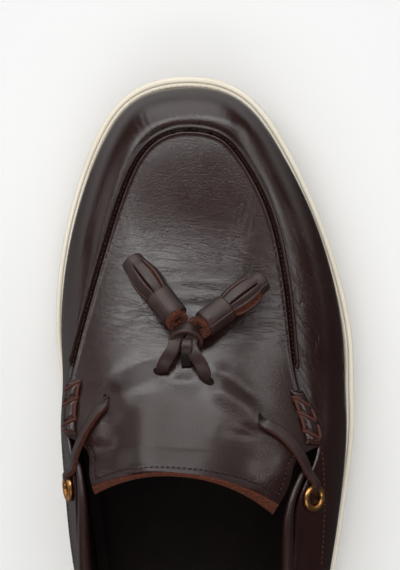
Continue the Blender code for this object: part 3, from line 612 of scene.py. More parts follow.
# %% The suede_fibres group
nodes, given, out = make_group("suede_fibres", {"Size": 0.0005}, ("Height", "Tone"))
here = nodes.own_place()
scale = nodes.math("DIVIDE", 1.0, given["Size"])
clumps = nodes.noise(here, scale, 4.0, Roughness=0.7)["Fac"]
lumps = nodes.noise(here, 500.0, 2.0)["Fac"]
nodes.feed(out["Height"], nodes.math("MULTIPLY_ADD", lumps, 0.6, clumps))
nodes.feed(out["Tone"], nodes.span(clumps, 0.40, 0.62))
print("suede_fibres made")


# %% A material to start from
def new_finish(name, colour, roughness, **constants):
    """A Principled material. Values that are the same all over are set on the shader's own sockets."""
    made = bpy.data.materials.new(name)
    made.use_nodes = True
    shader = made.node_tree.nodes["Principled BSDF"]
    shader.inputs["Base Color"].default_value = (*colour, 1.0)
    shader.inputs["Roughness"].default_value = roughness
    for socket, value in constants.items():
        shader.inputs[socket.replace("_", " ")].default_value = value
    return Nodes(made.node_tree), shader


def use_group(nodes, name, **values):
    node = nodes.add("ShaderNodeGroup", node_tree=bpy.data.node_groups[name])
    for socket, value in values.items():
        nodes.feed(node.inputs[socket], value)
    return node.outputs


def raise_surface(nodes, shader, *layers):
    """Chains bumps, each a height, a depth in metres and a strength, into the shader's normal."""
    normal = None
    for height, depth, strength in layers:
        inputs = {"Height": height, "Distance": depth, "Strength": strength}
        if normal is not None:
            inputs["Normal"] = normal
        normal = nodes.add("ShaderNodeBump", inputs).outputs[0]
    nodes.feed(shader.inputs["Normal"], normal)


def mask_of(nodes, name):
    return nodes.add("ShaderNodeAttribute", attribute_name=name).outputs["Fac"]


# %% [markdown]
# ### Dark brown leather
#
# The upper is smooth calf, dyed almost black-brown and lightly polished. Most of what the eye reads is
# its gloss, so the base colour is very dark and a thin coat carries the soft highlights. Masks stored on
# the mesh say where the leather is creased, worn to a matt, or darkened in a seam's groove as painted shade.

# %% Leather
# The colour of painted shade: in the seam's groove, at the piping's feet and in the gathers' dents.
GROOVE_SHADE = (0.004, 0.002, 0.0018)
CREASE_DEPTHS = (0.00012, 0.00014)  # across the vamp, and slanting on its outer side
CRACKLE_DEPTH = 0.00050
CRACKLE_EVERYWHERE = 0.07


def leather_finish(name, colour, pale, roughness, grain_depth, coat):
    nodes, shader = new_finish(name, colour, roughness, Coat_Weight=coat, Coat_Roughness=0.22,
                               Specular_IOR_Level=0.5)
    grain = use_group(nodes, "leather_grain", Size=0.00085, Unevenness=0.3)
    coarse = use_group(nodes, "leather_grain", Size=0.0013, Unevenness=0.9)
    across = use_group(nodes, "fine_creases", Turn=0.12, Spacing=0.0011, Stretch=5.0, Thinness=0.05)
    slanted = use_group(nodes, "fine_creases", Turn=1.05, Spacing=0.0013, Stretch=6.0, Thinness=0.05)
    seam_and_shade, worn = mask_of(nodes, "seam_and_shade"), mask_of(nodes, "worn")
    tinted = nodes.blend(nodes.math("MULTIPLY", grain["Tone"], 0.5), colour, pale)
    tinted = nodes.blend(nodes.math("MULTIPLY", worn, 0.15), tinted, pale)
    # Where the seam and shade mask is set, the leather takes that painted shade.
    nodes.feed(shader.inputs["Base Color"], nodes.blend(seam_and_shade, tinted, GROOVE_SHADE))
    rough = nodes.math("MULTIPLY_ADD", grain["Tone"], 0.08, roughness - 0.04)
    nodes.feed(shader.inputs["Roughness"], nodes.math("MULTIPLY_ADD", worn, 0.14, rough))
    raise_surface(
        nodes, shader,
        (across["Height"], CREASE_DEPTHS[0], nodes.math("MULTIPLY", mask_of(nodes, "creased"), 0.9)),
        (slanted["Height"], CREASE_DEPTHS[1], nodes.math("MULTIPLY", mask_of(nodes, "slanted"), 0.9)),
        (coarse["Height"], CRACKLE_DEPTH,
         nodes.math("ADD", mask_of(nodes, "crackled"), CRACKLE_EVERYWHERE, clamp=True)),
        (grain["Height"], grain_depth, 0.8),
    )


leather_finish("calf_leather", (0.0150, 0.0043, 0.0033), (0.0225, 0.0082, 0.0064), 0.25, 0.000035, 0.30)
leather_finish("collar_leather", (0.0150, 0.0046, 0.0037), (0.0225, 0.0087, 0.0070), 0.38, 0.00003, 0.25)
print("leather made")

# %% [markdown]
# ### Lace leather, cut edges and thread
#
# The laces and tassels are the same hide, waxed and a little softer. Where they are cut the undyed
# middle of the hide shows as rusty brown suede. The hand stitches are a waxed cord of that same colour,
# and the machine's stitches are finer and nearly as dark as the leather.

# %% Lace leather
nodes, shader = new_finish("lace_leather", (0.022, 0.0100, 0.0083), 0.42, Coat_Weight=0.18, Coat_Roughness=0.35)
grain = use_group(nodes, "leather_grain", Size=0.0006, Unevenness=0.8)
tinted = nodes.blend(grain["Tone"], (0.017, 0.0070, 0.0058), (0.034, 0.0155, 0.0125))
tinted = nodes.blend(mask_of(nodes, "worn"), tinted, (0.090, 0.036, 0.020))
# Where the seam and shade mask is set the lace is darkened: painted shade in the knot's fold and in narrow
# tassel slits, and a little along the bars' cut edges.
tinted = nodes.blend(mask_of(nodes, "seam_and_shade"), tinted, (0.006, 0.003, 0.0025))
nodes.feed(shader.inputs["Base Color"], tinted)
raise_surface(nodes, shader, (grain["Height"], 0.00007, 0.8))


# %% Cut leather and thread
def fibrous_finish(name, colour, roughness, dark, pale, size, depth, strength, shade_colour=None, **constants):
    """Short fibres, from the dark between them to their pale tips, and painted shade in the shade colour where
    the seam and shade mask is.
    """
    nodes, shader = new_finish(name, colour, roughness, **constants)
    fibres = use_group(nodes, "suede_fibres", Size=size)
    tinted = nodes.blend(fibres["Tone"], dark, pale)
    if shade_colour:
        tinted = nodes.blend(mask_of(nodes, "seam_and_shade"), tinted, shade_colour)
    nodes.feed(shader.inputs["Base Color"], tinted)
    raise_surface(nodes, shader, (fibres["Height"], depth, strength))


NAP = {"Sheen_Weight": 0.05, "Sheen_Roughness": 0.5, "Specular_IOR_Level": 0.2}
# On cut leather that dark colour is painted shade: on the openings' patches and deep in narrow tassel slits.
fibrous_finish("cut_leather", (0.11, 0.027, 0.013), 0.85, (0.018, 0.0052, 0.0034), (0.125, 0.031, 0.0145),
               0.00065, 0.00040, 0.9, shade_colour=(0.008, 0.003, 0.002), **NAP)
fibrous_finish("tongue_cut", (0.18, 0.045, 0.020), 0.80, (0.038, 0.0098, 0.0054), (0.115, 0.030, 0.0140),
               0.00070, 0.00015, 0.8, **NAP)
fibrous_finish("hand_thread", (0.10, 0.027, 0.017), 0.70, (0.028, 0.0075, 0.0050), (0.115, 0.030, 0.0170),
               0.00030, 0.00018, 0.9)
fibrous_finish("seam_thread", (0.040, 0.014, 0.010), 0.55, (0.012, 0.0042, 0.0032), (0.042, 0.013, 0.0085),
               0.00030, 0.00010, 0.6)

# %% [markdown]
# ### Lining
#
# Inside the shoe almost no light arrives, and the photograph shows a plain dark hollow. The lining and
# the insole share one matt, nearly black leather, darker than the upper, with the hollow's shade painted into
# its colour.

# %% Lining leather
# Its colour is darker than the upper's: the hollow's shade, painted in.
nodes, shader = new_finish("lining_leather", (0.004, 0.0024, 0.0021), 0.75, Specular_IOR_Level=0.25)
grain = use_group(nodes, "leather_grain", Size=0.0011, Unevenness=0.5)
nodes.feed(shader.inputs["Base Color"],
           nodes.blend(grain["Tone"], (0.0030, 0.0018, 0.0016), (0.0060, 0.0036, 0.0031)))
raise_surface(nodes, shader, (grain["Height"], 0.00006, 0.7))
print("lace leather, cuts, threads and lining made")

# %% [markdown]
# ### Cream rubber and brass
#
# The cup sole is moulded rubber: a satin cream, very slightly uneven, darker in its grooves and at the tread's
# lower edge, with painted shade on the shelf behind the upper.
# The eyelets are cast brass rings, burnished on their crowns and dull where the leather touches.

# %% Rubber
nodes, shader = new_finish("cream_rubber", (0.92, 0.85, 0.71), 0.50, Specular_IOR_Level=0.4)
here = nodes.own_place()
cloud = nodes.noise(here, 45.0, 4.0)["Fac"]
fine = nodes.noise(here, 1900.0, 3.0)["Fac"]
tinted = nodes.blend(nodes.span(cloud, 0.35, 0.7), (0.93, 0.87, 0.74), (0.88, 0.80, 0.655))
# The seam and shade mask darkens the grooves and the tread's lower edge, and paints shade on the shelf behind
# the upper.
tinted = nodes.blend(nodes.math("MULTIPLY", mask_of(nodes, "seam_and_shade"), 0.55), tinted, (0.42, 0.35, 0.27))
specks = nodes.math("MULTIPLY", nodes.span(fine, 0.60, 0.66), mask_of(nodes, "specks"))
nodes.feed(shader.inputs["Base Color"], nodes.blend(specks, tinted, (0.20, 0.12, 0.08)))
nodes.feed(shader.inputs["Roughness"], nodes.math("MULTIPLY_ADD", cloud, 0.2, 0.40))
raise_surface(nodes, shader, (cloud, 0.0003, 0.2), (fine, 0.00008, 0.5))

# %% Brass
nodes, shader = new_finish("cast_brass", (0.72, 0.37, 0.11), 0.27, Metallic=1.0)
here = nodes.own_place()
tarnish = nodes.noise(here, 260.0, 4.0)["Fac"]
scratches = nodes.noise(here, 1500.0, 2.0)["Fac"]
tinted = nodes.blend(nodes.span(tarnish, 0.4, 0.7), (0.76, 0.40, 0.14), (0.50, 0.21, 0.060))
nodes.feed(shader.inputs["Base Color"], nodes.blend(mask_of(nodes, "seam_and_shade"), tinted, (0.10, 0.035, 0.012)))
nodes.feed(shader.inputs["Roughness"], nodes.span(tarnish, 0.3, 0.75, 0.30, 0.48))
raise_surface(nodes, shader, (tarnish, 0.0001, 0.3), (scratches, 0.00003, 0.4))
print(len(bpy.data.node_groups), "node groups,", len(bpy.data.materials), "materials")

# %% [markdown]
# ## The lace's two ends
#
# The lace comes out of two holes in the apron, its ends go up through a small knot, and each is rolled
# into a tassel. The ends and tassels are modelled first: each end has its own length, from its hole to the
# middle of its tassel. A flat lace is best made as a strap carried along a smooth path, because its cut
# edges then turn with it.

# %% The knot's frame and the tassels' axes
KNOT_SEAT = (7.668, 0.493)
TASSELS = {
    "inner": ((7.935, 0.446, 1.75), (8.645, 0.194, 1.00)),
    "outer": ((7.850, 0.565, 1.75), (8.420, 0.856, 1.00)),
}
HOLES = {"inner": (7.239, 0.394), "outer": (7.097, 0.577)}

knot_up = apron_normal(*KNOT_SEAT)
knot_centre = on_apron(*KNOT_SEAT, KNOT_LIFT)
knot_across = unit(np.array([1.0, 0, 0]) - knot_up * knot_up[0])
knot_forwards = np.cross(knot_up, knot_across)


def in_knot(x, y, z):
    """A point at shares of the knot's width, band and height from the middle of its band."""
    return (knot_centre + knot_across * (x * KNOT_WIDTH) + knot_forwards * (y * KNOT_BAND)
            + knot_up * (z * KNOT_HEIGHT))


tassel_frames = {}
for side, (head, far) in TASSELS.items():
    start, end = (on_apron(q, share, lift * TASSEL_RADIUS) for q, share, lift in (head, far))
    axis = unit(end - start)
    level = unit(np.cross(axis, [0, 0, 1.0]))
    tassel_frames[side] = (start, end, axis, level, np.cross(level, axis))
    print(side, "tassel:", round(float(np.linalg.norm(end - start)) * 1000, 1), "mm long")

# %% [markdown]
# ### Tassels
#
# One strip of leather is slit into ribbons in its middle, rolled up on the lace's end and bound by a band
# at its head. The ribbons belly out between the band and the closed far end. Rolling a flat sheet up with
# modifiers is hard to steer, so a closed section with a slit between each two ribbons is carried along
# the tassel's axis instead.

# %% The tassels' outline and slits
# Each row of the outline: the share of the length, the share of the radius, and how open the slits are.
TASSEL_OUTLINE = (
    (0.000, 0.84, 0.0), (0.012, 0.95, 0.0), (0.030, 1.00, 0.0), (0.120, 1.01, 0.0), (0.250, 1.02, 0.0),
    (0.362, 1.04, 0.0), (0.372, 1.03, 0.0), (0.378, 0.93, 0.0), (0.392, 0.92, 0.0), (0.402, 0.93, 0.5),
    (0.430, 0.97, 0.9), (0.480, 1.04, 1.0), (0.540, 1.09, 1.0), (0.610, 1.11, 1.0), (0.680, 1.10, 1.0),
    (0.740, 1.05, 1.0), (0.790, 0.99, 1.0), (0.825, 0.94, 0.8), (0.840, 0.92, 0.4), (0.850, 0.90, 0.0),
    (0.900, 0.86, 0.0), (0.950, 0.84, 0.0), (0.980, 0.81, 0.0), (0.994, 0.72, 0.0), (1.000, 0.58, 0.0),
)
TASSEL_SLITS = 7
SLIT_DEPTH = 0.0019
SLIT_WIDTHS = {  # how far each slit stands open, in ribbons, round the tassel
    "inner": (0.10, 0.28, 0.12, 0.13, 0.10, 0.10, 0.08),
    "outer": (0.30, 0.52, 0.12, 0.15, 0.12, 0.10, 0.10),
}
SLIT_TURN = {"inner": -0.16, "outer": -0.24}  # where the slits lie round each tassel, in ribbons
RIBBON_LIFT = 0.045  # how differently the ribbons lie, as a share of the radius
PEELED_RIBBON = 0.55  # the middle of the outer tassel's ribbon that has come away from the roll
PEELED_LIFT = 0.16


def ribbon_section(side):
    """Round the tassel: the place in ribbons, how deep the slit is there, and how wide that slit stands."""
    place_round, depths, widths = [], [], []
    for strip, width in enumerate(SLIT_WIDTHS[side]):
        after = SLIT_WIDTHS[side][(strip + 1) % TASSEL_SLITS]
        low, high = width / 2, 1 - after / 2
        rows = [(0.0, 1.0), (low * 0.6, 0.97), (low * 0.92, 0.85), (low + 0.015, 0.12), (low + 0.045, -0.05),
                (low + 0.12, -0.08), (0.35, -0.02), (0.50, 0.0), (0.65, -0.02), (high - 0.12, -0.08),
                (high - 0.045, -0.05), (high - 0.015, 0.12), (1 - after * 0.46, 0.85), (1 - after * 0.30, 0.97)]
        for share, depth in rows:
            slit = width if share < 0.5 else after
            place_round.append(strip + share)
            depths.append(depth if depth < 0 else depth * min(1.0, 0.45 + 0.08 / slit))
            widths.append(slit)
    return np.array(place_round), np.array(depths), np.array(widths)


# %% Tassels
def make_tassel(side):
    start, end, axis, level, upright = tassel_frames[side]
    outline = np.array(TASSEL_OUTLINE)
    where, depth, slit_width = ribbon_section(side)
    turn = 2 * math.pi * (where + SLIT_TURN[side]) / TASSEL_SLITS
    own = np.sin(np.floor(where) * 2.4 + len(side)) * RIBBON_LIFT
    if side == "outer":
        own = own + PEELED_LIFT * bump(where, PEELED_RIBBON, 0.35)
    spread = outline[:, 2:3] * np.ones_like(turn)
    reach = TASSEL_RADIUS * outline[:, 1:2] * (1 + own * spread) - SLIT_DEPTH * depth * spread
    around = level * np.cos(turn)[:, None] + upright * np.sin(turn)[:, None]
    spots = (start + (end - start) * outline[:, :1])[:, None] + around[None] * reach[..., None]
    cut = (depth > 0.2) | (np.roll(depth, -1) > 0.2)
    opened = (outline[:-1, 2] + outline[1:, 2]) > 0.7
    finish = np.concatenate([(opened[:, None] & cut[None]).astype(int).ravel(), [1, 0]])
    piece = make_piece(f"tassel_{side}_leather", spots.reshape(-1, 3), tube_faces(len(outline), len(turn)),
                       ("lace_leather", "cut_leather"), (f"tassel_{side}",), finish)
    # Deep in the narrow slits the leather is darkened: painted shade.
    set_mask(piece, "seam_and_shade", (spread * (depth > 0.5) * (1 - smooth_step(slit_width, 0.10, 0.22))).ravel())
    band_edge = 0.6 * bump(outline[:, 0], 0.366, 0.004)[:, None]
    ribbon_edges = 0.45 * spread * ((depth > -0.07) & (depth < -0.04))
    set_mask(piece, "worn", np.clip(band_edge + ribbon_edges, 0, 1).ravel())
    return piece


tassel_pieces = {side: make_tassel(side) for side in TASSELS}
print("tassels:", [len(piece.data.polygons) for piece in tassel_pieces.values()], "faces")

# %% [markdown]
# ### The rolled heads
#
# At the knot the roll's raw end stands out of its band: a spiral of suede round the lace. It is a narrow
# strip carried along a spiral path, which shows each turn's edge. A disc with a spiral bump would look
# flat from the side.

# %% The rolled heads
COIL_TURNS = 1.9
COIL_THICKNESS = 0.0019
COIL_HEIGHT = 0.0013
COIL_OUT = 0.0034  # how much further the roll stands out of its band on its lower side
COIL_SIDES = 12
COIL_START = {"inner": 0.8, "outer": 3.4}  # where the spiral starts, in radians


def make_coil(side):
    start, end, axis, level, upright = tassel_frames[side]
    turn = np.linspace(0, 2 * math.pi * COIL_TURNS, 110)
    share = turn / turn[-1]
    reach = TASSEL_RADIUS * 0.99 - COIL_THICKNESS / 2 - share * TASSEL_RADIUS * 0.52
    rough = 0.00016 * np.sin(turn * 9) * np.sin(turn * 4)
    turn = turn + COIL_START[side]
    out = 0.0006 - COIL_OUT * (1 - np.sin(turn) * reach / TASSEL_RADIUS) / 2 + 0.0006 * share + rough
    path = (start + level * (reach * np.cos(turn))[:, None] + upright * (reach * np.sin(turn))[:, None]
            + axis * out[:, None])
    looks = np.tile(-axis, (len(path), 1))
    rings = swept_rings(path, looks, COIL_THICKNESS / 2, COIL_HEIGHT, round_section(COIL_SIDES, 2.6))
    return make_piece(f"tassel_{side}_coil", rings.reshape(-1, 3), tube_faces(len(path), COIL_SIDES),
                      ("cut_leather",))


coil_pieces = {side: make_coil(side) for side in TASSELS}
print("coils:", list(coil_pieces))

# %% [markdown]
# ### The free ends
#
# Each free end is a flat strap from the hole that it comes out of to the tassel on its far end, and its
# length is printed. Its route goes from the hole, past the fold and through the knot's band, into the
# tassel's head.

# %% The free ends
# The rows give the route between the hole and the tassel's head, in the knot's frame.
LACE_ROUTES = {
    "inner": ((-0.74, -2.34, -0.36), (-0.60, -1.66, 0.06), (-0.40, -0.80, 0.13), (-0.30, 0.10, 0.12)),
    "outer": ((0.58, -2.74, -0.38), (0.44, -2.00, 0.02), (0.22, -1.10, 0.14), (0.14, -0.20, 0.14)),
}
LACE_STEPS = 60
for side, rows in LACE_ROUTES.items():
    start, end, axis, level, upright = tassel_frames[side]
    hole = on_apron(*HOLES[side], -0.0010)
    inside = [start - axis * 0.0030 - upright * 0.0022, start - upright * 0.0020, start + axis * 0.012]
    path = even_path(np.array([hole] + [in_knot(*row) for row in rows] + inside), LACE_STEPS)
    look = unit(np.tile(knot_up, (LACE_STEPS, 1)) * 0.9 + knot_forwards * -0.5)
    wide = LACE_WIDTH * 1.04 * (0.55 + 0.45 * smooth_step(np.linspace(0, 1, LACE_STEPS), 0.0, 0.13))
    piece = make_strap(f"lace_end_{side}", path, look, wide, LACE_THICKNESS * 0.9, replaces=("lace_knot",))
    on_apron(*HOLES[side], 0.0).tolist()
    print(side, "lace end:", round(path_length(path) * 1000, 1), "mm")

# %% [markdown]
# ### The knot
#
# The two ends go through one turn of the same lace, which leans to the toe, and behind it the lace folds
# back on itself. Both are straps along short paths. A simulated knot would be truer, but it would lie
# where it likes, and this one has to lie as in the photograph.

# %% The knot's band
KNOT_LEAN = math.radians(32)
KNOT_TILT = math.radians(-14)  # the band's outer end lies lower
BAND_AHEAD = 0.0008  # of the knot's middle
tall = knot_up * math.cos(KNOT_LEAN) + knot_forwards * math.sin(KNOT_LEAN)
turn = np.radians(np.linspace(-100, 260, 90))
wide = knot_across * math.cos(KNOT_TILT) + tall * math.sin(KNOT_TILT)
high = tall * math.cos(KNOT_TILT) - knot_across * math.sin(KNOT_TILT)
outwards = wide * np.cos(turn)[:, None] * 0.9 + high * np.sin(turn)[:, None]
path = (knot_centre + knot_forwards * BAND_AHEAD
        + wide * (np.cos(turn) * (KNOT_WIDTH / 2 - LACE_THICKNESS * 0.3))[:, None]
        + high * (np.sin(turn) * (KNOT_HEIGHT / 2 + LACE_THICKNESS * 0.35))[:, None])
knot_band = make_strap("lace_band", path, outwards, KNOT_BAND * 1.06, LACE_THICKNESS * 0.8,
                       replaces=("lace_knot",), cut=False)
set_mask(knot_band, "worn", np.tile(np.where(STRAP_SECTION[:, 0] < -0.93, 0.18, 0.0), len(path)))
print("knot band", round(path_length(path) * 1000, 1), "mm")

# %% The knot's fold
# Between the two ends the lace turns back under the band. Its lower half, down between the legs, is darkened:
# painted shade.
FOLD_STEPS = 40
FOLD_ROUTE = ((0.00, -1.80, -0.50), (-0.01, -1.50, -0.14), (0.00, -1.10, 0.17), (0.02, -0.62, 0.31),
              (0.03, -0.10, 0.24))
path = even_path(np.array([in_knot(*row) for row in FOLD_ROUTE]), FOLD_STEPS)
looks = np.tile(knot_up - knot_forwards * 0.5, (FOLD_STEPS, 1))
knot_fold = make_strap("lace_fold", path, looks, LACE_WIDTH * 0.86, LACE_THICKNESS * 0.9,
                       replaces=("lace_knot",), cut=False)
shade = 1 - smooth_step(np.linspace(0, 1, FOLD_STEPS), 0.50, 0.72)
set_mask(knot_fold, "seam_and_shade", np.repeat(shade, STRAP_SIDES) * 0.9)
print("knot fold", round(path_length(path) * 1000, 1), "mm")

# %% [markdown]
# ## The upper
#
# The upper is one skin: walls, apron and tongue share one grid, so the leather runs on without a gap
# under the piping. Soft troughs and ridges, placed in the shoe's own sizes, push it along its
# normals. Then Solidify gives it a leather's thickness, with the lining as a second material inside.

# %% Troughs and ridges in the leather
# Each row: where it starts and ends, along in LENGTH and across in BALL_WIDTH, how far its middle bows
# forwards in LENGTH, then its half width and its height in WALL, where a trough's height is below 0.
FOLDS = (
    ("toe_box_break", 0.300, -0.250, 0.300, 0.175, 0.010, 9.50, -0.50),
    ("toe_front_roll", 0.424, -0.250, 0.424, 0.210, 0.028, 2.50, 0.42),
    ("tunnel_inner", 0.145, -0.125, 0.112, -0.288, 0.002, 1.90, 0.30),
    ("tunnel_outer", 0.131, 0.028, 0.090, 0.196, 0.003, 1.80, 0.40),
    ("tunnel_inner_lee", 0.162, -0.130, 0.136, -0.290, 0.004, 1.30, -0.14),
    ("tunnel_outer_lee", 0.152, 0.036, 0.108, 0.205, 0.004, 1.40, -0.20),
    ("between_holes", 0.138, -0.090, 0.136, -0.005, -0.004, 1.50, -0.25),
    ("tongue_valley_inner", 0.105, -0.290, 0.012, -0.272, 0.000, 2.60, -0.60),
    ("tongue_ridge_inner", 0.120, -0.160, 0.012, -0.174, 0.000, 3.20, 0.75),
    ("tongue_valley_outer", 0.090, 0.160, 0.010, 0.165, 0.000, 4.00, -0.80),
    ("tongue_ridge_outer", 0.072, 0.262, 0.012, 0.256, 0.000, 2.40, 0.40),
    ("vamp_crease_a", 0.255, -0.190, 0.252, 0.120, 0.006, 0.70, -0.07),
    ("vamp_crease_b", 0.236, -0.250, 0.238, 0.080, 0.008, 0.80, -0.09),
    ("vamp_crease_c", 0.219, -0.120, 0.222, 0.210, 0.005, 0.70, -0.08),
    ("vamp_crease_d", 0.203, -0.290, 0.205, -0.080, 0.006, 0.85, -0.10),
    ("vamp_crease_e", 0.186, 0.090, 0.196, 0.250, 0.004, 0.80, -0.08),
    ("vamp_ridge_a", 0.228, -0.240, 0.230, 0.150, 0.007, 0.90, 0.06),
    ("vamp_ridge_b", 0.245, -0.200, 0.247, 0.180, 0.006, 0.80, 0.05),
)


FOLD_LINE_STEPS = 24


def fold_relief(points):
    """The height that the folds add, at each point, by its place in plan."""
    relief = np.zeros(len(points))
    for _, along, across, to_along, to_across, bow, width, height in FOLDS:
        a, b = place(along, across)[:2], place(to_along, to_across)[:2]
        steps = np.linspace(0, 1, FOLD_LINE_STEPS)[:, None]
        line = a + (b - a) * steps
        line[:, 1] += (4 * steps * (1 - steps))[:, 0] * bow * LENGTH
        gap = np.linalg.norm(points[:, None, :2] - line[None], axis=-1)
        share = gap.argmin(1) / (FOLD_LINE_STEPS - 1)
        fade = 0.25 + 0.75 * band(share, 0.0, 0.25, 0.75, 1.0)
        relief += height * WALL * fade * bump(gap.min(1), 0.0, width * WALL)
    return relief


# %% [markdown]
# ### One grid for the whole skin
#
# Walls, apron and tongue are grids of the same two surfaces that the sizes above define. Where two grids
# meet they share their points, so they become one mesh without a gap. Joined objects merged by distance
# would look the same, but here the shares along and across are at hand for each point.

# %% The upper's grid
RIB_STEPS = 20
WALL_CUTS = 24
APRON_CUTS = 120
SEAM_CUTS = 0.75  # how much finer the apron's cuts are beside the seam
TONGUE_CUTS = 60
TONGUE_END = 3.36  # the row where the tongue's skin ends and its raw edge begins
SAME_POINT = 2e-6  # metres within which two points are one

walls = np.linspace(0, 1, WALL_CUTS + 1)
shares = np.linspace(0, 1, APRON_CUTS + 1)
shares -= SEAM_CUTS * np.sin(2 * math.pi * shares) / (2 * math.pi)


def wall_rows(q):
    """Rows from the cup's floor up to the top line, one for each rib number."""
    foot = sole_outline(q, rim_inset(q) + CLEARANCE)
    foot[:, 2] = cup_floor_height(foot[:, 1]) + CLEARANCE
    return np.concatenate([foot[:, None], wall_point(q[:, None], walls[None])], 1)


front = np.linspace(WING, TIP, (TIP - WING) * RIB_STEPS + 1)
back = np.linspace(RIB_COUNT - WING, RIB_COUNT + WING, 2 * WING * RIB_STEPS + 1)
tongue = np.linspace(WING, TONGUE_END, TONGUE_CUTS)
blocks = [
    (wall_rows(front), "wall"), (wall_rows(RIB_COUNT - front)[:, ::-1], "wall"), (wall_rows(back), "wall"),
    (apron_point(front[:, None], shares[None]), "apron"), (apron_point(tongue[:, None], shares[None]), "apron"),
]
points, faces, on_top = [], [], []
for grid, zone in blocks:
    faces.append(grid_faces(grid.shape[0], grid.shape[1], sum(len(block) for block in points)))
    points.append(grid.reshape(-1, 3))
    on_top.append(np.full(grid.shape[0] * grid.shape[1], zone == "apron"))
points, faces, on_top = (np.concatenate(parts) for parts in (points, faces, on_top))
cells = np.round(points / SAME_POINT).astype(np.int64)
_, first, number = np.unique(cells, axis=0, return_index=True, return_inverse=True)
points, on_top, faces = points[first], on_top[first], number.ravel()[faces]
clean = []
for face in faces.tolist():
    kept = [v for k, v in enumerate(face) if v != face[k - 1]]
    if len(set(kept)) > 2:
        clean.append(kept)
print("upper's skin:", len(points), "points,", len(clean), "faces")

# %% Put the upper's skin together
upper = make_piece("upper_leather", points, clean, ("calf_leather", "lining_leather"), ("upper",))
normals = np.array([vertex.normal for vertex in upper.data.vertices])
if normals[np.argmax(points[:, 2])][2] < 0:
    upper.data.flip_normals()
    normals = -normals
along, across = points[:, 1] / LENGTH, points[:, 0] / BALL_WIDTH - LAST_OFFSET
print("upper_leather made")

# %% [markdown]
# ### Folds, seams and wear
#
# Each point's distance to a line says how much of a groove or a ridge it gets. Sculpting by hand would do
# the same once, but distances can be changed by a number. With bands along and across, the same distances
# also make the masks that the leather's material reads, such as the dark of a seam.

# %% How far each point is from the seam and from the tongue's stitches
TONGUE_STITCH_INSET = 0.027  # share across at which the stitches run down the tongue's sides
TONGUE_STITCH_ROW = 3.60  # rib number of their row along its edge

seam_q = np.linspace(WING + 0.9, RIB_COUNT - WING - 0.9, 600)
seam_line = top_line(seam_q)
seam_gap = np.empty(len(points))
BLOCK = 4000  # points at a time, to spare memory
for low in range(0, len(points), BLOCK):
    block = points[low:low + BLOCK]
    seam_gap[low:low + BLOCK] = np.linalg.norm(block[:, None] - seam_line[None], axis=-1).min(1)
side_q = np.linspace(5.3, TONGUE_STITCH_ROW, 40)
row_share = np.linspace(TONGUE_STITCH_INSET, 1 - TONGUE_STITCH_INSET, 120)
row_q = TONGUE_STITCH_ROW + 0.16 * (1 - (2 * row_share - 1) ** 4)
stitch_line = np.concatenate([apron_point(side_q, TONGUE_STITCH_INSET), apron_point(row_q, row_share),
                              apron_point(side_q[::-1], 1 - TONGUE_STITCH_INSET)])
stitch_gap = np.full(len(points), 1.0)  # metres, where it is far away
near = np.flatnonzero(on_top & (along < 0.08))
stitch_gap[near] = np.linalg.norm(points[near][:, None] - stitch_line[None], axis=-1).min(1)
print("stitch line:", round(path_length(stitch_line) * 1000), "mm")

# %% Raise the folds, the seam's edge and its groove
SEAM_RIDGE, SEAM_RIDGE_GAP = 0.00030, 0.0020  # its height and how far from the seam it runs
SEAM_GROOVE, SEAM_GROOVE_GAP = 0.00030, 0.0008
STITCH_GROOVE = 0.00012
EDGE_WIDTH = 0.0006

folded = on_top | (points[:, 2] > 0.040) | (along > 0.40)  # the walls' lower parts stay as the last has them
relief = np.where(folded, fold_relief(points), 0.0)
relief += (np.where(on_top, SEAM_RIDGE * bump(seam_gap, SEAM_RIDGE_GAP, EDGE_WIDTH), 0.0)
           - SEAM_GROOVE * bump(seam_gap, SEAM_GROOVE_GAP, EDGE_WIDTH))
relief -= STITCH_GROOVE * bump(stitch_gap, 0.0, EDGE_WIDTH)
points = points + normals * relief[:, None]
upper.data.vertices.foreach_set("co", points.ravel())
upper.data.update()
upper_tree = BVHTree.FromPolygons(points.tolist(), [list(face) for face in clean])
print("relief from", round(relief.min() * 1000, 2), "to", round(relief.max() * 1000, 2), "mm")

# %% Say where the leather is darkened as painted shade, worn, crackled and creased
# The tongue is handled most and has lost its polish. Its outer side is crackled, the vamp is creased
# across, and the wall beside the little toe is creased on the slant.
on_tongue = on_top * (1 - smooth_step(along, 0.08, 0.16))
# The seam's groove and the groove of the tongue's stitches are darkened: painted shade.
set_mask(upper, "seam_and_shade", 0.9 * bump(seam_gap, 0.0006, 0.0007) + 0.7 * bump(stitch_gap, 0.0, 0.00045))
set_mask(upper, "crackled", on_top * bump(across, 0.222, 0.022) * band(along, -0.01, 0.01, 0.075, 0.10) * 0.35
         + on_tongue * 0.09)
set_mask(upper, "worn", on_tongue + on_top * smooth_step(along, 0.27, 0.33) * 0.2)
set_mask(upper, "creased", on_top * band(along, 0.16, 0.20, 0.27, 0.33) * 0.45 + on_top * 0.12)
outer_wall = (~on_top) * smooth_step(across, 0.25, 0.32)
set_mask(upper, "slanted", outer_wall * band(along, 0.05, 0.12, 0.28, 0.36) * 0.9)
print("worn tongue:", int((on_tongue > 0.5).sum()), "points")

# %% Give the leather its thickness
shell = upper.modifiers.new("thickness", "SOLIDIFY")
shell.thickness = WALL * 0.9
shell.offset = -1.0
shell.material_offset = 1
shell.material_offset_rim = 0
shell.use_even_offset = False
print("leather", round(shell.thickness * 1000, 2), "mm thick")


# %% [markdown]
# ### Finding the leather
#
# Stitches and openings are placed in plan, as shares along and across, and then dropped onto the leather.
# A Shrinkwrap modifier could do that, but a ray from above gives both the point and the normal there,
# which tells a stitch which way is up.

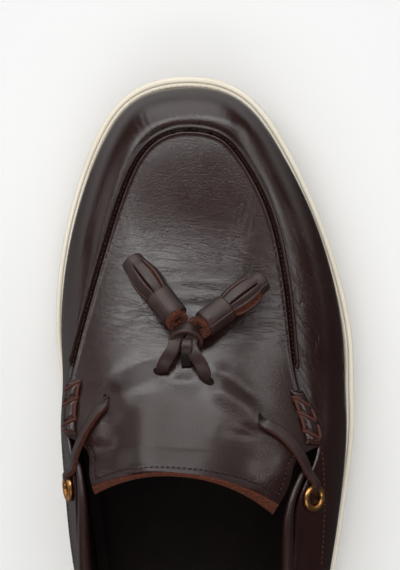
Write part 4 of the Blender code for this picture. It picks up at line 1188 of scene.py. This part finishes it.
# %% A helper that finds the leather
def on_leather(along, across, lift=0.0):
    spots, looks = [], []
    for x, y, _ in np.atleast_2d(place(along, across)):
        hit, normal, _, _ = upper_tree.ray_cast(Vector((x, y, 0.2)), Vector((0, 0, -1)))
        if hit is None:
            hit, normal, _, _ = upper_tree.find_nearest(Vector((x, y, 0.04)))
        if normal.z < 0:
            normal = -normal
        spots.append(hit + normal * lift)
        looks.append(normal)
    return np.array(spots), np.array(looks)


# %% [markdown]
# ### Slits and holes
#
# The lace goes through the apron in two long slits and two round holes, and a small punched hole relieves
# the inner slit's end. They could be cut with booleans, which spoil a smooth skin's shading. What shows of
# each is the shade inside it, so it is a small dark patch a hair over the leather: painted shade.

# %% Slits and holes
OPENINGS = {  # along, across, half length and half width in mm, and the way it lies in degrees from across
    "slit_inner": (0.1085, -0.3080, 3.0, 0.9, 52),
    "slit_outer": (0.0885, 0.2010, 3.0, 0.9, -72),
    "punch_inner": (0.1180, -0.3085, 0.75, 0.50, 20),
    "hole_inner": (0.1465, -0.1260, 2.7, 1.5, -8),
    "hole_outer": (0.1365, 0.0250, 2.7, 1.5, -28),
}
OPENING_CORNERS = 28
OPENING_LIFT = 0.00012


def make_opening(name):
    along, across, half_long, half_wide, way = OPENINGS[name]
    way = math.radians(way)
    long_way = np.array([math.cos(way), math.sin(way), 0])
    wide_way = np.array([-math.sin(way), math.cos(way), 0])
    spots = [place(along, across)]
    for turn in np.arange(OPENING_CORNERS) * 2 * math.pi / OPENING_CORNERS:
        x, y = half_long * math.cos(turn) / 1000, half_wide * math.sin(turn) / 1000
        spots.append(spots[0] + (x * long_way + y * wide_way))
    spots = np.array(spots)
    points, _ = on_leather(spots[:, 1] / LENGTH, spots[:, 0] / BALL_WIDTH - LAST_OFFSET, OPENING_LIFT)
    faces = [(0, k, k % OPENING_CORNERS + 1) for k in range(1, OPENING_CORNERS + 1)]
    piece = make_piece(name, points, faces, ("cut_leather",))
    # Painted shade: the whole patch takes the dark of the seam and shade mask.
    set_mask(piece, "seam_and_shade", np.ones(len(points)))
    return piece


openings = [make_opening(name) for name in OPENINGS]
print("openings:", len(openings))

# %% [markdown]
# ### The tongue's edge
#
# A row of small machine stitches runs round the tongue, and behind it the leather is cut and left raw: a
# red-brown band that faces up and backwards. The stitches are one joined mesh. The raw edge is a strip of
# its own, because its finish and its slope differ from the skin's.

# %% Stitches along the tongue's edge
STITCH_PITCH, STITCH_LENGTH, STITCH_RADIUS = 0.0019, 0.0013, 0.00030
STITCH_LIFT = 0.00014

route, looks = on_leather(stitch_line[:, 1] / LENGTH, stitch_line[:, 0] / BALL_WIDTH - LAST_OFFSET, STITCH_LIFT)
points, faces = stitch_points(route, looks, STITCH_PITCH, STITCH_LENGTH, STITCH_RADIUS)
make_piece("tongue_stitches", points, faces, ("seam_thread",))
print("tongue stitches:", round(path_length(route) * 1000), "mm")

# %% The tongue's raw edge
TONGUE_DROP = 0.0020
TONGUE_TIP = 3.0  # the tongue's last row
EDGE_GAP = 0.0006  # between the edge's upper and lower corner

rows = []
for step in np.linspace(0, 1, 7):
    q = TONGUE_END * (1 - step) + TONGUE_TIP * step
    row = apron_point(q, shares)
    row[:, 2] -= TONGUE_DROP * step**1.3
    rows.append(row)
under = apron_point(TONGUE_TIP, shares)
under[:, 2] -= TONGUE_DROP + EDGE_GAP
back_under = apron_point(TONGUE_END, shares) - apron_normal(TONGUE_END, shares) * WALL * 0.9
rows += [under, back_under]
rings = np.stack(rows, 1)
raw_edge = make_piece("tongue_raw_edge", rings.reshape(-1, 3), tube_faces(len(shares), len(rows)),
                      ("tongue_cut",))
print("tongue's edge:", len(raw_edge.data.polygons), "faces")

# %% [markdown]
# ## The cup sole
#
# A profile is carried round the sole's outline. It has the tread layer, the line over it, the side, a
# rounded lip, a fine groove, and the narrow shelf that the upper drops behind.

# %% Sole
# Each row: the level it starts from, its inset in SOLE_TAPER, SIDE_LINE, RIM_WIDTH and the rim's own
# width, its height in TREAD_EDGE, SIDE_LINE, RIM_WIDTH and RIM_STEP, and how dark it is: in the grooves, at the
# tread's lower edge, and painted shade on the shelf behind the upper.
SOLE_SIDE = (
    ("tread", 1.60, 0, 0.00, 0.00, 0.00, 0.0, 0.00, 0.0, 0.0),
    ("tread", 1.00, 0, 0.00, 0.00, 0.00, 0.0, 0.00, 0.0, 0.1),
    ("tread", 0.72, 0, 0.00, 0.00, 0.05, 0.0, 0.00, 0.0, 0.2),
    ("tread", 0.55, 0, 0.00, 0.00, 0.20, 0.0, 0.00, 0.0, 0.1),
    ("tread", 0.40, 0, 0.00, 0.00, 0.94, 0.0, 0.00, 0.0, 0.0),
    ("tread", 0.40, 0.3, 0.00, 0.00, 1.00, 0.2, 0.00, 0.0, 0.6),
    ("tread", 0.40, 1, 0.00, 0.00, 1.00, 0.8, 0.00, 0.0, 1.0),
    ("tread", 0.36, 1, 0.00, 0.00, 1.00, 1.2, 0.00, 0.0, 1.0),
    ("tread", 0.33, 0.3, 0.00, 0.00, 1.00, 1.8, 0.00, 0.0, 0.6),
    ("tread", 0.30, 0, 0.00, 0.00, 1.00, 2.6, 0.00, 0.0, 0.1),
    ("tread", 0.14, 0, 0.00, 0.00, 1.70, 2.6, 0.00, 0.0, 0.0),
    ("rim", 0.00, 0, 0.00, 0.00, 0.0, 0, 0.75, 0.0, 0.0),
    ("rim", 0.00, 0, 0.02, 0.00, 0.0, 0, 0.45, 0.0, 0.0),
    ("rim", 0.00, 0, 0.07, 0.00, 0.0, 0, 0.24, 0.0, 0.0),
    ("rim", 0.00, 0, 0.15, 0.00, 0.0, 0, 0.10, 0.0, 0.0),
    ("rim", 0.00, 0, 0.25, 0.00, 0.0, 0, 0.02, 0.0, 0.0),
    ("rim", 0.00, 0, 0.36, 0.00, 0.0, 0, 0.00, 0.0, 0.0),
    ("rim", 0.00, 0, 0.20, 0.25, 0.0, 0, 0.02, 0.0, 0.0),
    ("rim", 0.00, 0, 0.12, 0.44, 0.0, 0, 0.05, 0.0, 0.1),
    ("rim", 0.00, 0, 0.12, 0.48, 0.0, 0, 0.10, 0.6, 0.6),
    ("rim", 0.00, 0, 0.12, 0.51, 0.0, 0, 0.12, 0.7, 0.8),
    ("rim", 0.00, 0, 0.12, 0.54, 0.0, 0, 0.10, 0.6, 0.5),
    ("rim", 0.00, 0, 0.10, 0.60, 0.0, 0, 0.02, 0.6, 0.05),
    ("rim", 0.00, 0, 0.04, 0.84, 0.0, 0, 0.02, 0.8, 0.10),
    ("rim", 0.00, 0, 0.00, 0.97, 0.0, 0, 0.06, 1.0, 0.6),
    ("rim", 0.00, 0, 0.00, 1.00, 0.0, 0, 0.20, 1.0, 1.0),
    ("cup", 0.00, 0, 0.00, 1.00, 0.0, 0, 0.00, 0.0, 1.0),
)
LEVELS = {"tread": tread_height, "rim": rim_height, "cup": cup_floor_height}
SOLE_STEPS = 20
around = np.arange(RIB_COUNT * SOLE_STEPS) / SOLE_STEPS
rings, darkened = [], []
for base, taper, line_in, lip, rim, tread_up, line_up, rim_down, step_down, dark_share in SOLE_SIDE:
    inset = SOLE_TAPER * taper + SIDE_LINE * line_in + RIM_WIDTH * lip + rim_inset(around) * rim
    ring = sole_outline(around, inset)
    ring[:, 2] = (LEVELS[base](ring[:, 1]) + TREAD_EDGE * tread_up + SIDE_LINE * line_up
                  - RIM_WIDTH * rim_down - RIM_STEP * step_down)
    rings.append(ring)
    darkened.append(np.full(len(ring), dark_share))
rings = np.stack(rings)


def strips_across(ring_start, size, cuts, points, faces):
    """Fills a ring round the shoe with strips, from each inner station to the outer one that faces it."""
    total = sum(len(block) for block in points)
    flat = np.concatenate(points)
    half = size // 2
    a = ring_start + np.arange(1, half)
    b = ring_start + size - np.arange(1, half)
    share = (np.arange(1, cuts) / cuts)[None, :, None]
    inner = flat[a][:, None] * (1 - share) + flat[b][:, None] * share
    points.append(inner.reshape(-1, 3))
    numbers = total + np.arange((half - 1) * (cuts - 1)).reshape(half - 1, cuts - 1)
    rows = np.concatenate([a[:, None], numbers, b[:, None]], 1)
    for j in range(cuts):
        faces += np.stack([rows[:-1, j], rows[:-1, j + 1], rows[1:, j + 1], rows[1:, j]], -1).tolist()
        faces.append([ring_start, rows[0, j], rows[0, j + 1]])
        faces.append([ring_start + half, rows[-1, j + 1], rows[-1, j]])
    return inner.shape[0] * inner.shape[1]


STRIP_CUTS = 24


def make_ringed(name, rings, finish, node):
    """A closed piece from rings round the shoe, and how many points its two flat ends add."""
    count, size = rings.shape[:2]
    points, faces = [rings.reshape(-1, 3)], grid_faces(count, size, wrap=True).tolist()
    added = strips_across(0, size, STRIP_CUTS, points, faces)
    added += strips_across((count - 1) * size, size, STRIP_CUTS, points, faces)
    return make_piece(name, np.concatenate(points), faces, (finish,), (node,)), added


sole, added = make_ringed("cup_sole", rings, "cream_rubber", "sole")
# Darker in the grooves and at the tread's lower edge, and painted shade on the shelf behind the upper.
set_mask(sole, "seam_and_shade", np.concatenate([np.concatenate(darkened), np.zeros(added)]))
speck_rows = np.array([0.6 < row[4] <= 1.0 and row[0] == "rim" for row in SOLE_SIDE], float)
set_mask(sole, "specks", np.concatenate([np.repeat(speck_rows, len(around)), np.zeros(added)]))
print("sole:", len(sole.data.polygons), "faces")

# %% [markdown]
# ## The insole
#
# A leather footbed lies on the cup's floor. Almost nothing shows of it, so it is the sole's own method
# again: a few rings round the shoe, closed by strips from side to side.

# %% Insole
INSOLE_GAP = 0.7  # between the rim and the insole, in WALL
INSOLE_SIDE = (  # inset in WALL, and height in INSOLE_THICKNESS, with a shallow groove round the top
    (0.0, 0.0), (0.0, 0.75), (0.15, 0.95), (0.5, 1.0), (2.0, 1.0), (2.1, 0.94), (2.3, 0.94), (2.4, 1.0),
)
rings = []
for inset, rise in INSOLE_SIDE:
    ring = sole_outline(around, WALL * INSOLE_GAP + inset * WALL + rim_inset(around))
    ring[:, 2] = cup_floor_height(ring[:, 1]) + CLEARANCE + INSOLE_THICKNESS * rise
    rings.append(ring)
insole, _ = make_ringed("insole_leather", np.stack(rings), "lining_leather", "insole")
print("insole:", len(insole.data.polygons), "faces")

# %% [markdown]
# ## The seam, the gathers and the collar
#
# A narrow bead of leather is sewn into the seam between apron and wall. Behind its two ends the wall is
# gathered under hand stitches, and from there a padded roll runs round the foot opening.

# %% Piping
PIPING_START = 1.35  # ribs ahead of the wing
PIPING_WIDTH = 0.0026
PIPING_HEIGHT = 0.0015
PIPING_FOOT = 0.0004  # how far it reaches into the seam


def seam_sections(q):
    """The seam's point, the ways onto the apron and down the wall, and the way out between them."""
    step = 0.02
    here = top_line(q)
    run = unit(top_line(q + step) - top_line(q - step))
    facing = np.where(q <= TIP, q, RIB_COUNT - q)
    share = 0.15 + 0.35 * np.maximum(0.0, 1 - (TIP - facing) / 1.5)
    onto = apron_point(facing - 0.7, np.where(q <= TIP, share, 1 - share)) - here
    down = wall_point(q, 0.93) - here
    onto, down = (unit(way - run * (way * run).sum(-1, keepdims=True)) for way in (onto, down))
    over, out = unit(np.cross(onto, run)), unit(np.cross(run, down))
    return here, onto, down, over, out, unit(over + out)


piping_q = np.linspace(WING + PIPING_START, RIB_COUNT - WING - PIPING_START, 330)
here, onto, down, over, out, up = seam_sections(piping_q)
taper = smooth_step(np.minimum(piping_q - piping_q[0], piping_q[-1] - piping_q), -0.03, 0.12)[:, None]
rings = []
for turn in np.linspace(0, math.pi, 11):
    half = PIPING_WIDTH * 0.46 * math.cos(turn)
    spread = onto * half * 0.5 if half > 0 else down * -half
    rings.append(here + spread * (0.6 + 0.4 * taper) + up * (PIPING_HEIGHT * taper * math.sin(turn) ** 0.8))
rings.append(here - up * PIPING_FOOT)
piping = make_piece("seam_piping", np.stack(rings, 1).reshape(-1, 3), tube_faces(len(piping_q), len(rings)),
                    ("calf_leather",), ("apron_piping",))
# Its two feet, where it meets apron and wall, are darkened: painted shade in the grooves beside it.
set_mask(piping, "seam_and_shade", np.tile([0.9] + [0.25] + [0.0] * 8 + [0.4, 0.9], len(piping_q)))
print("piping:", round(path_length(here) * 1000), "mm")

# %% Its stitches
SEAM_PITCH, SEAM_STITCH_LENGTH, SEAM_STITCH_RADIUS = 0.00165, 0.00100, 0.00020

path = here + onto * (PIPING_WIDTH * 0.32) + over * SEAM_STITCH_RADIUS
points, faces = stitch_points(path, over, SEAM_PITCH, SEAM_STITCH_LENGTH, SEAM_STITCH_RADIUS)
make_piece("seam_stitches", points, faces, ("seam_thread",))
print("seam stitches:", len(faces), "faces")

# %% [markdown]
# ### Gathers
#
# Beside each eyelet the wall's leather is gathered into a small puffed roll, and thread pulls it in at
# three places. A cloth simulation could pucker it, but its folds would fall anywhere. Here its height is
# a function of the way along it and over it, so each rung's dent is where the photograph has it.

# %% Gathers under the hand stitches
GATHER_SPAN = {"inner": (0.01, 1.14), "outer": (0.01, 1.00)}  # ribs ahead of the wing
GATHER_WIDTH = 0.0047
GATHER_HEIGHT = 0.0021
GATHER_LIFT = 0.0002
# Where each rung of thread crosses: shares of the gather's length at its apron side and at its wall side
RUNGS = {
    "inner": ((0.31, 0.17), (0.70, 0.55), (0.97, 0.82)),
    "outer": ((0.26, 0.10), (0.59, 0.42), (0.86, 0.69)),
}


def rung_place(rung, turn):
    return rung[1] + (rung[0] - rung[1]) * (1 - np.cos(turn)) / 2


def gather_point(side, share, turn, lift=0.0):
    """The gather's surface: share runs along it, and turn from the wall (0) over it to the apron (pi)."""
    share, turn = np.broadcast_arrays(np.asarray(share, float), np.asarray(turn, float))
    low, high = GATHER_SPAN[side]
    q = WING + low + (high - low) * share
    width = GATHER_WIDTH / np.linalg.norm(top_line(q) - top_line(RIB_COUNT - q), axis=-1)
    across = width * (1 - np.cos(turn)) / 2
    puff = 1 - 0.50 * sum(bump(share, rung_place(rung, turn), 0.040) for rung in RUNGS[side])
    puff = puff * band(share, -0.03, 0.10, 0.90, 1.0)
    height = GATHER_LIFT + GATHER_HEIGHT * puff * np.sin(np.clip(turn, 0, math.pi)) ** 0.7
    return on_apron(q, across if side == "inner" else 1 - across, height + lift)


def make_gather(side):
    share, turn = np.linspace(0, 1, 110)[:, None], np.linspace(0, math.pi, 21)[None]
    rings = gather_point(side, share, turn)
    under = gather_point(side, share, math.pi / 2, -GATHER_HEIGHT)
    rings = np.concatenate([rings, under.reshape(-1, 1, 3)], 1)
    piece = make_piece(f"gather_{side}", rings.reshape(-1, 3), tube_faces(rings.shape[0], rings.shape[1]),
                       ("calf_leather",), (f"pucker_{side}",))
    # The dents under the rungs are darkened as painted shade, and the hidden underside is dark all along.
    dark = np.clip(sum(bump(share, rung_place(rung, turn), 0.022) for rung in RUNGS[side]), 0, 1)
    set_mask(piece, "seam_and_shade", np.concatenate([dark * 0.6, np.ones((len(dark), 1))], 1).ravel())
    return piece


gathers = {side: make_gather(side) for side in RUNGS}
print("gathers:", list(gathers))

# %% [markdown]
# ### The hand stitches
#
# A thick waxed thread crosses the gather in three rungs and runs on between them in rails, as a ladder
# does. It follows the gather's own function, so it hugs each dent, and both ends of each run dip into the
# leather.

# %% The thread over the gathers
THREAD_RADIUS = 0.00058
THREAD_DIP = np.array([-1.3, -0.1, 0.35, 0.55])  # its lift in THREAD_RADIUS, from each end inwards
RAIL_TURN = {"apron": math.pi * 0.94, "wall": math.pi * 0.14}


def thread_route(side, shares, turns):
    """A route over the gather that dips into the leather at both ends."""
    count = 26
    at, rows = np.linspace(0, 1, count), np.linspace(0, 1, len(shares))
    shares, turns = np.interp(at, rows, shares), np.interp(at, rows, turns)
    from_end = np.minimum(np.arange(count), np.arange(count)[::-1])
    lift = THREAD_RADIUS * THREAD_DIP[np.minimum(from_end, len(THREAD_DIP) - 1)]
    route = gather_point(side, shares, turns, lift)
    q = WING + GATHER_SPAN[side][0] + (GATHER_SPAN[side][1] - GATHER_SPAN[side][0]) * shares
    return route, apron_normal(q, np.full(count, 0.04 if side == "inner" else 0.96))


def make_ladder(side):
    routes = []
    for rung in RUNGS[side]:
        turns = np.linspace(0.12, 0.96, 9) * math.pi
        routes.append(thread_route(side, rung_place(rung, turns), turns))
    for before, after in zip(RUNGS[side], RUNGS[side][1:]):
        rails = ("apron",) if side == "inner" else ("apron", "wall")
        for rail in rails:
            end = 0 if rail == "apron" else 1
            low, high = before[end] + 0.02, after[end] - 0.05
            routes.append(thread_route(side, np.linspace(low, high, 9), np.full(9, RAIL_TURN[rail])))
    return make_thread(f"ladder_{side}", routes, THREAD_RADIUS)


ladders = {side: make_ladder(side) for side in RUNGS}
print("ladders:", list(ladders))


# %% The bar tacks behind the gathers, and the facing's seam behind each eyelet
TACK_PITCH, TACK_LENGTH, TACK_RADIUS = 0.0010, 0.0008, 0.00028
FACING_LIFT, FACING_RADIUS = 0.00008, 0.00026


def add_mesh(points, faces, more, quads):
    """Puts one mesh behind those that points and faces already hold."""
    start = sum(len(block) for block in points)
    faces += [tuple(v + start for v in face) for face in quads]
    points.append(more)


points, faces = [], []
for side in RUNGS:
    for share in (0.035, 0.075):
        turns = np.linspace(0.18, 0.82, 12) * math.pi
        route = gather_point(side, share + 0.015 * np.cos(turns * 6), turns, 0.0001)
        looks = apron_normal(WING + 0.1, np.full(12, 0.05))
        add_mesh(points, faces, *stitch_points(route, looks, TACK_PITCH, TACK_LENGTH, TACK_RADIUS))
FACING_LINES = {  # along and across
    "inner": ((0.052, -0.458), (0.030, -0.454), (0.000, -0.446), (-0.040, -0.436), (-0.085, -0.424)),
    "outer": ((0.052, 0.390), (0.034, 0.3966), (0.006, 0.3980), (-0.022, 0.3986), (-0.085, 0.388)),
}
for rows in FACING_LINES.values():
    line = even_path(np.array([(*row, 0.0) for row in rows]), 120)
    route, looks = on_leather(line[:, 0], line[:, 1], FACING_LIFT)
    add_mesh(points, faces, *stitch_points(route, looks, STITCH_PITCH, STITCH_LENGTH, FACING_RADIUS))
make_piece("small_stitches", np.concatenate(points), faces, ("hand_thread",))
print("tacks and facing seams:", len(faces), "faces")

# %% [markdown]
# ### The collar
#
# A strip of soft leather is wrapped round foam and sewn along the top line from eyelet to eyelet. It is a
# tube of ellipses, thinner towards its ends, and slight waves keep it from looking like a pipe.

# %% Collar
COLLAR_SIDES = 28
COLLAR_SLIM = 0.0022  # beside the eyelets the roll is thinner and leaves their rings free

collar_q = np.linspace(RIB_COUNT - WING + 0.5, RIB_COUNT + WING - 0.5, 260)
run = unit(top_line(collar_q + 0.05) - top_line(collar_q - 0.05))
inwards = unit(np.cross([0, 0, 1.0], run))
toward = sole_outline(collar_q, WALL) - sole_outline(collar_q)
inwards *= np.sign((inwards * toward).sum(-1, keepdims=True))
past_end = np.minimum(collar_q - collar_q[0], collar_q[-1] - collar_q)
full = COLLAR_FADE + (1 - COLLAR_FADE) * smooth_step(past_end, 0.0, 1.2)
slim = COLLAR_SLIM * (1 - smooth_step(past_end, 0.8, 2.6))
close = smooth_step(past_end, -0.05, 0.12)
width, height = (COLLAR_WIDTH * (1 + full) / 2 - slim) * close, COLLAR_HEIGHT * full * close
centre = top_line(collar_q) + inwards * (WALL / 2 + slim * 0.75)[:, None]
centre[:, 2] += 1.5 * CLEARANCE + COLLAR_HEIGHT * full / 2
turn = np.arange(COLLAR_SIDES) * 2 * math.pi / COLLAR_SIDES
wrinkle = (1 + 0.012 * np.sin(collar_q[:, None] * 9 + 3 * turn)
           + 0.010 * np.sin(collar_q[:, None] * 23 + 2 * turn))
rings = (centre[:, None] + inwards[:, None] * (np.cos(turn) * wrinkle)[..., None] * (width / 2)[:, None, None]
         + np.array([0, 0, 1.0]) * (np.sin(turn) * wrinkle)[..., None] * (height / 2)[:, None, None])
collar = make_piece("collar_padding", rings.reshape(-1, 3), tube_faces(len(collar_q), COLLAR_SIDES),
                    ("collar_leather",), ("collar_roll",))
set_mask(collar, "creased", np.full(len(collar_q) * COLLAR_SIDES, 0.2))
print("collar:", round(path_length(centre) * 1000), "mm")

# %% [markdown]
# ## Brass eyelets
#
# Each eyelet is a heavy ring of round wire with a short tube behind it. A closed profile turned round an
# axis is all it needs.

# %% Eyelets
EYELETS = {"inner": (5.02, 0.80), "outer": (18.98, 0.84)}
EYELET_STEPS = 64
EYELET_PROFILE = (  # distance from the axis, and height over the wall, in metres
    (0.00285, 0.0004), (0.00290, 0.0010), (0.00315, 0.00148), (0.00355, 0.00172), (0.00398, 0.00178),
    (0.00440, 0.00168), (0.00474, 0.00140), (0.00496, 0.00098), (0.00500, 0.00060), (0.00492, 0.00032),
    (0.00325, 0.0003), (0.00320, -0.0020), (0.00285, -0.0020),
)


def wall_frame(q, turn):
    """The point on the wall, and the ways along it, up it and out of it."""
    step = 0.02
    here = wall_point(q, turn)
    up = unit(wall_point(q, turn + step) - wall_point(q, turn - step))
    along = unit(wall_point(q + step, turn) - wall_point(q - step, turn))
    out = unit(np.cross(along, up))
    if out @ (sole_outline(q) - sole_outline(q, WALL)) < 0:
        out = -out
    side = unit(np.cross(up, out))
    return here, side if side[1] > 0 else -side, up, out


def make_eyelet(side):
    here, along, up, out = wall_frame(*EYELETS[side])
    turn = np.linspace(0, 2 * math.pi, EYELET_STEPS + 1)[:-1]
    around = along * np.cos(turn)[:, None] + up * np.sin(turn)[:, None]
    profile = np.array(EYELET_PROFILE)
    rings = here + around[:, None] * profile[None, :, :1] + out * profile[None, :, 1:]
    size = len(profile)
    faces = grid_faces(len(turn), size, wrap=True).tolist()
    last = (len(turn) - 1) * size
    faces += [[last + j, last + (j + 1) % size, (j + 1) % size, j] for j in range(size)]
    piece = make_piece(f"eyelet_ring_{side}", rings.reshape(-1, 3), faces, ("cast_brass",),
                       (f"eyelet_{side}",))
    set_mask(piece, "seam_and_shade", np.tile([0.7, 0.3] + [0.0] * 6 + [0.4, 0.9, 1, 1, 1], len(turn)))
    return piece


eyelets = {side: make_eyelet(side) for side in EYELETS}
print("eyelets:", list(eyelets))

# %% [markdown]
# ## The lace's two bars
#
# On each side the lace comes out of a slit in the apron, crosses the gathered wing and goes down through
# the eyelet, where it ends behind the wall. It leans outwards, so its cut edge shows from above.

# %% Lace bars
# By "shoe" a row is shares of the length, ball width and instep height. By "eyelet" it is how far forwards,
# up the wall and outwards, in EYELET_RADIUS. Then how far its face leans out, and its width's share.
LACE_BARS = {
    "inner": (
        ("shoe", 0.1125, -0.3020, 0.726, 0.6, 0.70), ("shoe", 0.1055, -0.3130, 0.765, 1.0, 0.88),
        ("shoe", 0.0963, -0.3370, 0.773, 1.3, 0.94), ("shoe", 0.0797, -0.3660, 0.774, 1.5, 0.94),
        ("shoe", 0.0632, -0.3880, 0.770, 1.6, 0.90), ("shoe", 0.0450, -0.4050, 0.764, 1.6, 0.84),
        ("shoe", 0.0300, -0.4150, 0.742, 1.5, 0.74), ("eyelet", 0.95, 0.62, 0.36, 1.2, 0.64),
        ("eyelet", 0.46, 0.34, 0.02, 0.8, 0.58), ("eyelet", 0.20, 0.10, -0.60, 0.4, 0.54),
    ),
    "outer": (
        ("shoe", 0.0905, 0.1940, 0.726, 0.3, 0.62), ("shoe", 0.0852, 0.2130, 0.768, 0.4, 0.82),
        ("shoe", 0.0800, 0.2420, 0.764, 0.5, 0.92), ("shoe", 0.0695, 0.2800, 0.748, 0.7, 0.96),
        ("shoe", 0.0553, 0.3120, 0.734, 0.8, 0.92), ("shoe", 0.0412, 0.3360, 0.716, 0.9, 0.84),
        ("shoe", 0.0270, 0.3530, 0.700, 1.0, 0.74), ("eyelet", 1.00, 0.22, 0.50, 0.9, 0.66),
        ("eyelet", 0.52, 0.14, 0.10, 0.6, 0.60), ("eyelet", 0.22, 0.06, -0.60, 0.4, 0.54),
    ),
}


BAR_STEPS = 110


def make_bar(side):
    centre, forwards, up, out = wall_frame(*EYELETS[side])
    spots, leans, widths = [], [], []
    for by, first, second, third, lean, wide in LACE_BARS[side]:
        if by == "shoe":
            spots.append(place(first, second, third))
        else:
            spots.append(centre + (forwards * first + up * second + out * third) * EYELET_RADIUS)
        leans.append(lean)
        widths.append(wide)
    path = even_path(np.array(spots), BAR_STEPS)
    rows = np.linspace(0, len(leans) - 1, BAR_STEPS)
    ahead = unit(np.cross(np.gradient(path, axis=0), [0, 0, 1.0]) * (1 if side == "inner" else -1))
    look = unit(np.array([0, 0, 1.0]) + ahead * np.interp(rows, np.arange(len(leans)), leans)[:, None])
    width = LACE_WIDTH * np.interp(rows, np.arange(len(widths)), widths)
    piece = make_strap(f"lace_bar_{side}", path, look, width, LACE_THICKNESS, replaces=(f"lace_{side}",))
    set_mask(piece, "seam_and_shade", np.tile(STRAP_EDGES * 0.35, BAR_STEPS))
    print(side, "bar:", round(path_length(path) * 1000, 1), "mm")


for side in LACE_BARS:
    make_bar(side)

# %% [markdown]
# ## Stage
#
# The photograph has a plain pale ground and soft light. A wide strip of light ahead of the shoe draws the
# broad sheen across the vamp, and a panel behind it lights the heel. A large fill overhead keeps the ground
# even, and the leather doesn't mirror it. Three more panels are cards that only the gloss shows. For the
# leather the ground itself is dark, except at the toe and the inner side, as if black cards lay there.

# %% Floor
GROUND = 0.80
MIRRORED_GROUND = 0.86

floor_mesh = bpy.data.meshes.new("floor")
floor_mesh.from_pydata([(-3, -3, 0), (3, -3, 0), (3, 3, 0), (-3, 3, 0)], [], [(0, 1, 2, 3)])
floor = bpy.data.objects.new("floor", floor_mesh)
bpy.context.scene.collection.objects.link(floor)
nodes, shader = new_finish("ground", (GROUND,) * 3, 0.9)
here = nodes.own_place()
parts = nodes.add("ShaderNodeSeparateXYZ", {"Vector": here}).outputs
mirrored = nodes.math("MULTIPLY_ADD", nodes.span(parts["Y"], 0.12, 0.24), 0.95, 0.03)
mirrored = nodes.math("ADD", mirrored, nodes.span(parts["X"], -0.04, -0.16, 0.0, 0.40), clamp=True)
tinted = nodes.blend(mirrored, (0.0, 0.0, 0.0), (MIRRORED_GROUND,) * 3)
glossy = nodes.add("ShaderNodeLightPath").outputs["Is Glossy Ray"]
nodes.feed(shader.inputs["Base Color"], nodes.blend(glossy, (GROUND,) * 3, tinted))
raise_surface(nodes, shader, (nodes.noise(here, 400.0, 3.0)["Fac"], 0.0001, 0.1))
floor_mesh.materials.append(bpy.data.materials["ground"])
print("floor laid")

# %% Light from everywhere
WORLD_STRENGTH = 0.05

world = bpy.data.worlds.new("studio")
world.use_nodes = True
world.node_tree.nodes["Background"].inputs["Color"].default_value = (1.0, 1.0, 1.0, 1.0)
world.node_tree.nodes["Background"].inputs["Strength"].default_value = WORLD_STRENGTH
bpy.context.scene.world = world
bpy.context.scene.view_settings.view_transform = "Standard"
print("world made")

# %% Panels of light
# Each panel: the way it stands, where 0 is the toe, -90 the inner side, 180 the heel and 60 between toe and
# outer side, its angle from straight overhead, its width and height, and its radiance.
PANELS = (
    ("key", -12, 33, 1.40, 0.21, 7.0),
    ("outer", 60, 50, 0.50, 0.45, 2.6),
    ("front", -10, 66, 1.30, 1.00, 1.85),
    ("inner", -78, 62, 0.50, 0.40, 1.6),
    ("heel", 180, 42, 1.20, 0.40, 1.7),
)
LIGHTING_PANELS = ("key", "heel")  # the rest are cards that only the gloss shows
PANEL_DISTANCE = 1.3
LIT_SPOT = Vector((0.0, 0.06, 0.04))


def make_panel(name, width, height, radiance):
    light = bpy.data.lights.new(name, "AREA")
    light.shape = "RECTANGLE"
    light.size, light.size_y = width, height
    light.energy = radiance * math.pi * width * height
    panel = bpy.data.objects.new(name, light)
    panel.visible_camera = False
    bpy.context.scene.collection.objects.link(panel)
    return panel


for name, turn, tilt, width, height, radiance in PANELS:
    panel = make_panel(name, width, height, radiance)
    turn, tilt = math.radians(turn), math.radians(tilt)
    away = Vector((math.sin(turn) * math.sin(tilt), math.cos(turn) * math.sin(tilt), math.cos(tilt)))
    panel.location = LIT_SPOT + away * PANEL_DISTANCE
    panel.rotation_euler = (-away).to_track_quat("-Z", "Y").to_euler()
    panel.visible_diffuse = name in LIGHTING_PANELS

# %% The fill overhead
FILL_SIZE = 5.0
FILL_HEIGHT = 2.2
FILL_RADIANCE = 1.18

fill = make_panel("fill", FILL_SIZE, FILL_SIZE, FILL_RADIANCE)
fill.location = (0.0, 0.0, FILL_HEIGHT)
fill.visible_glossy = False
print(len(PANELS) + 1, "panels")
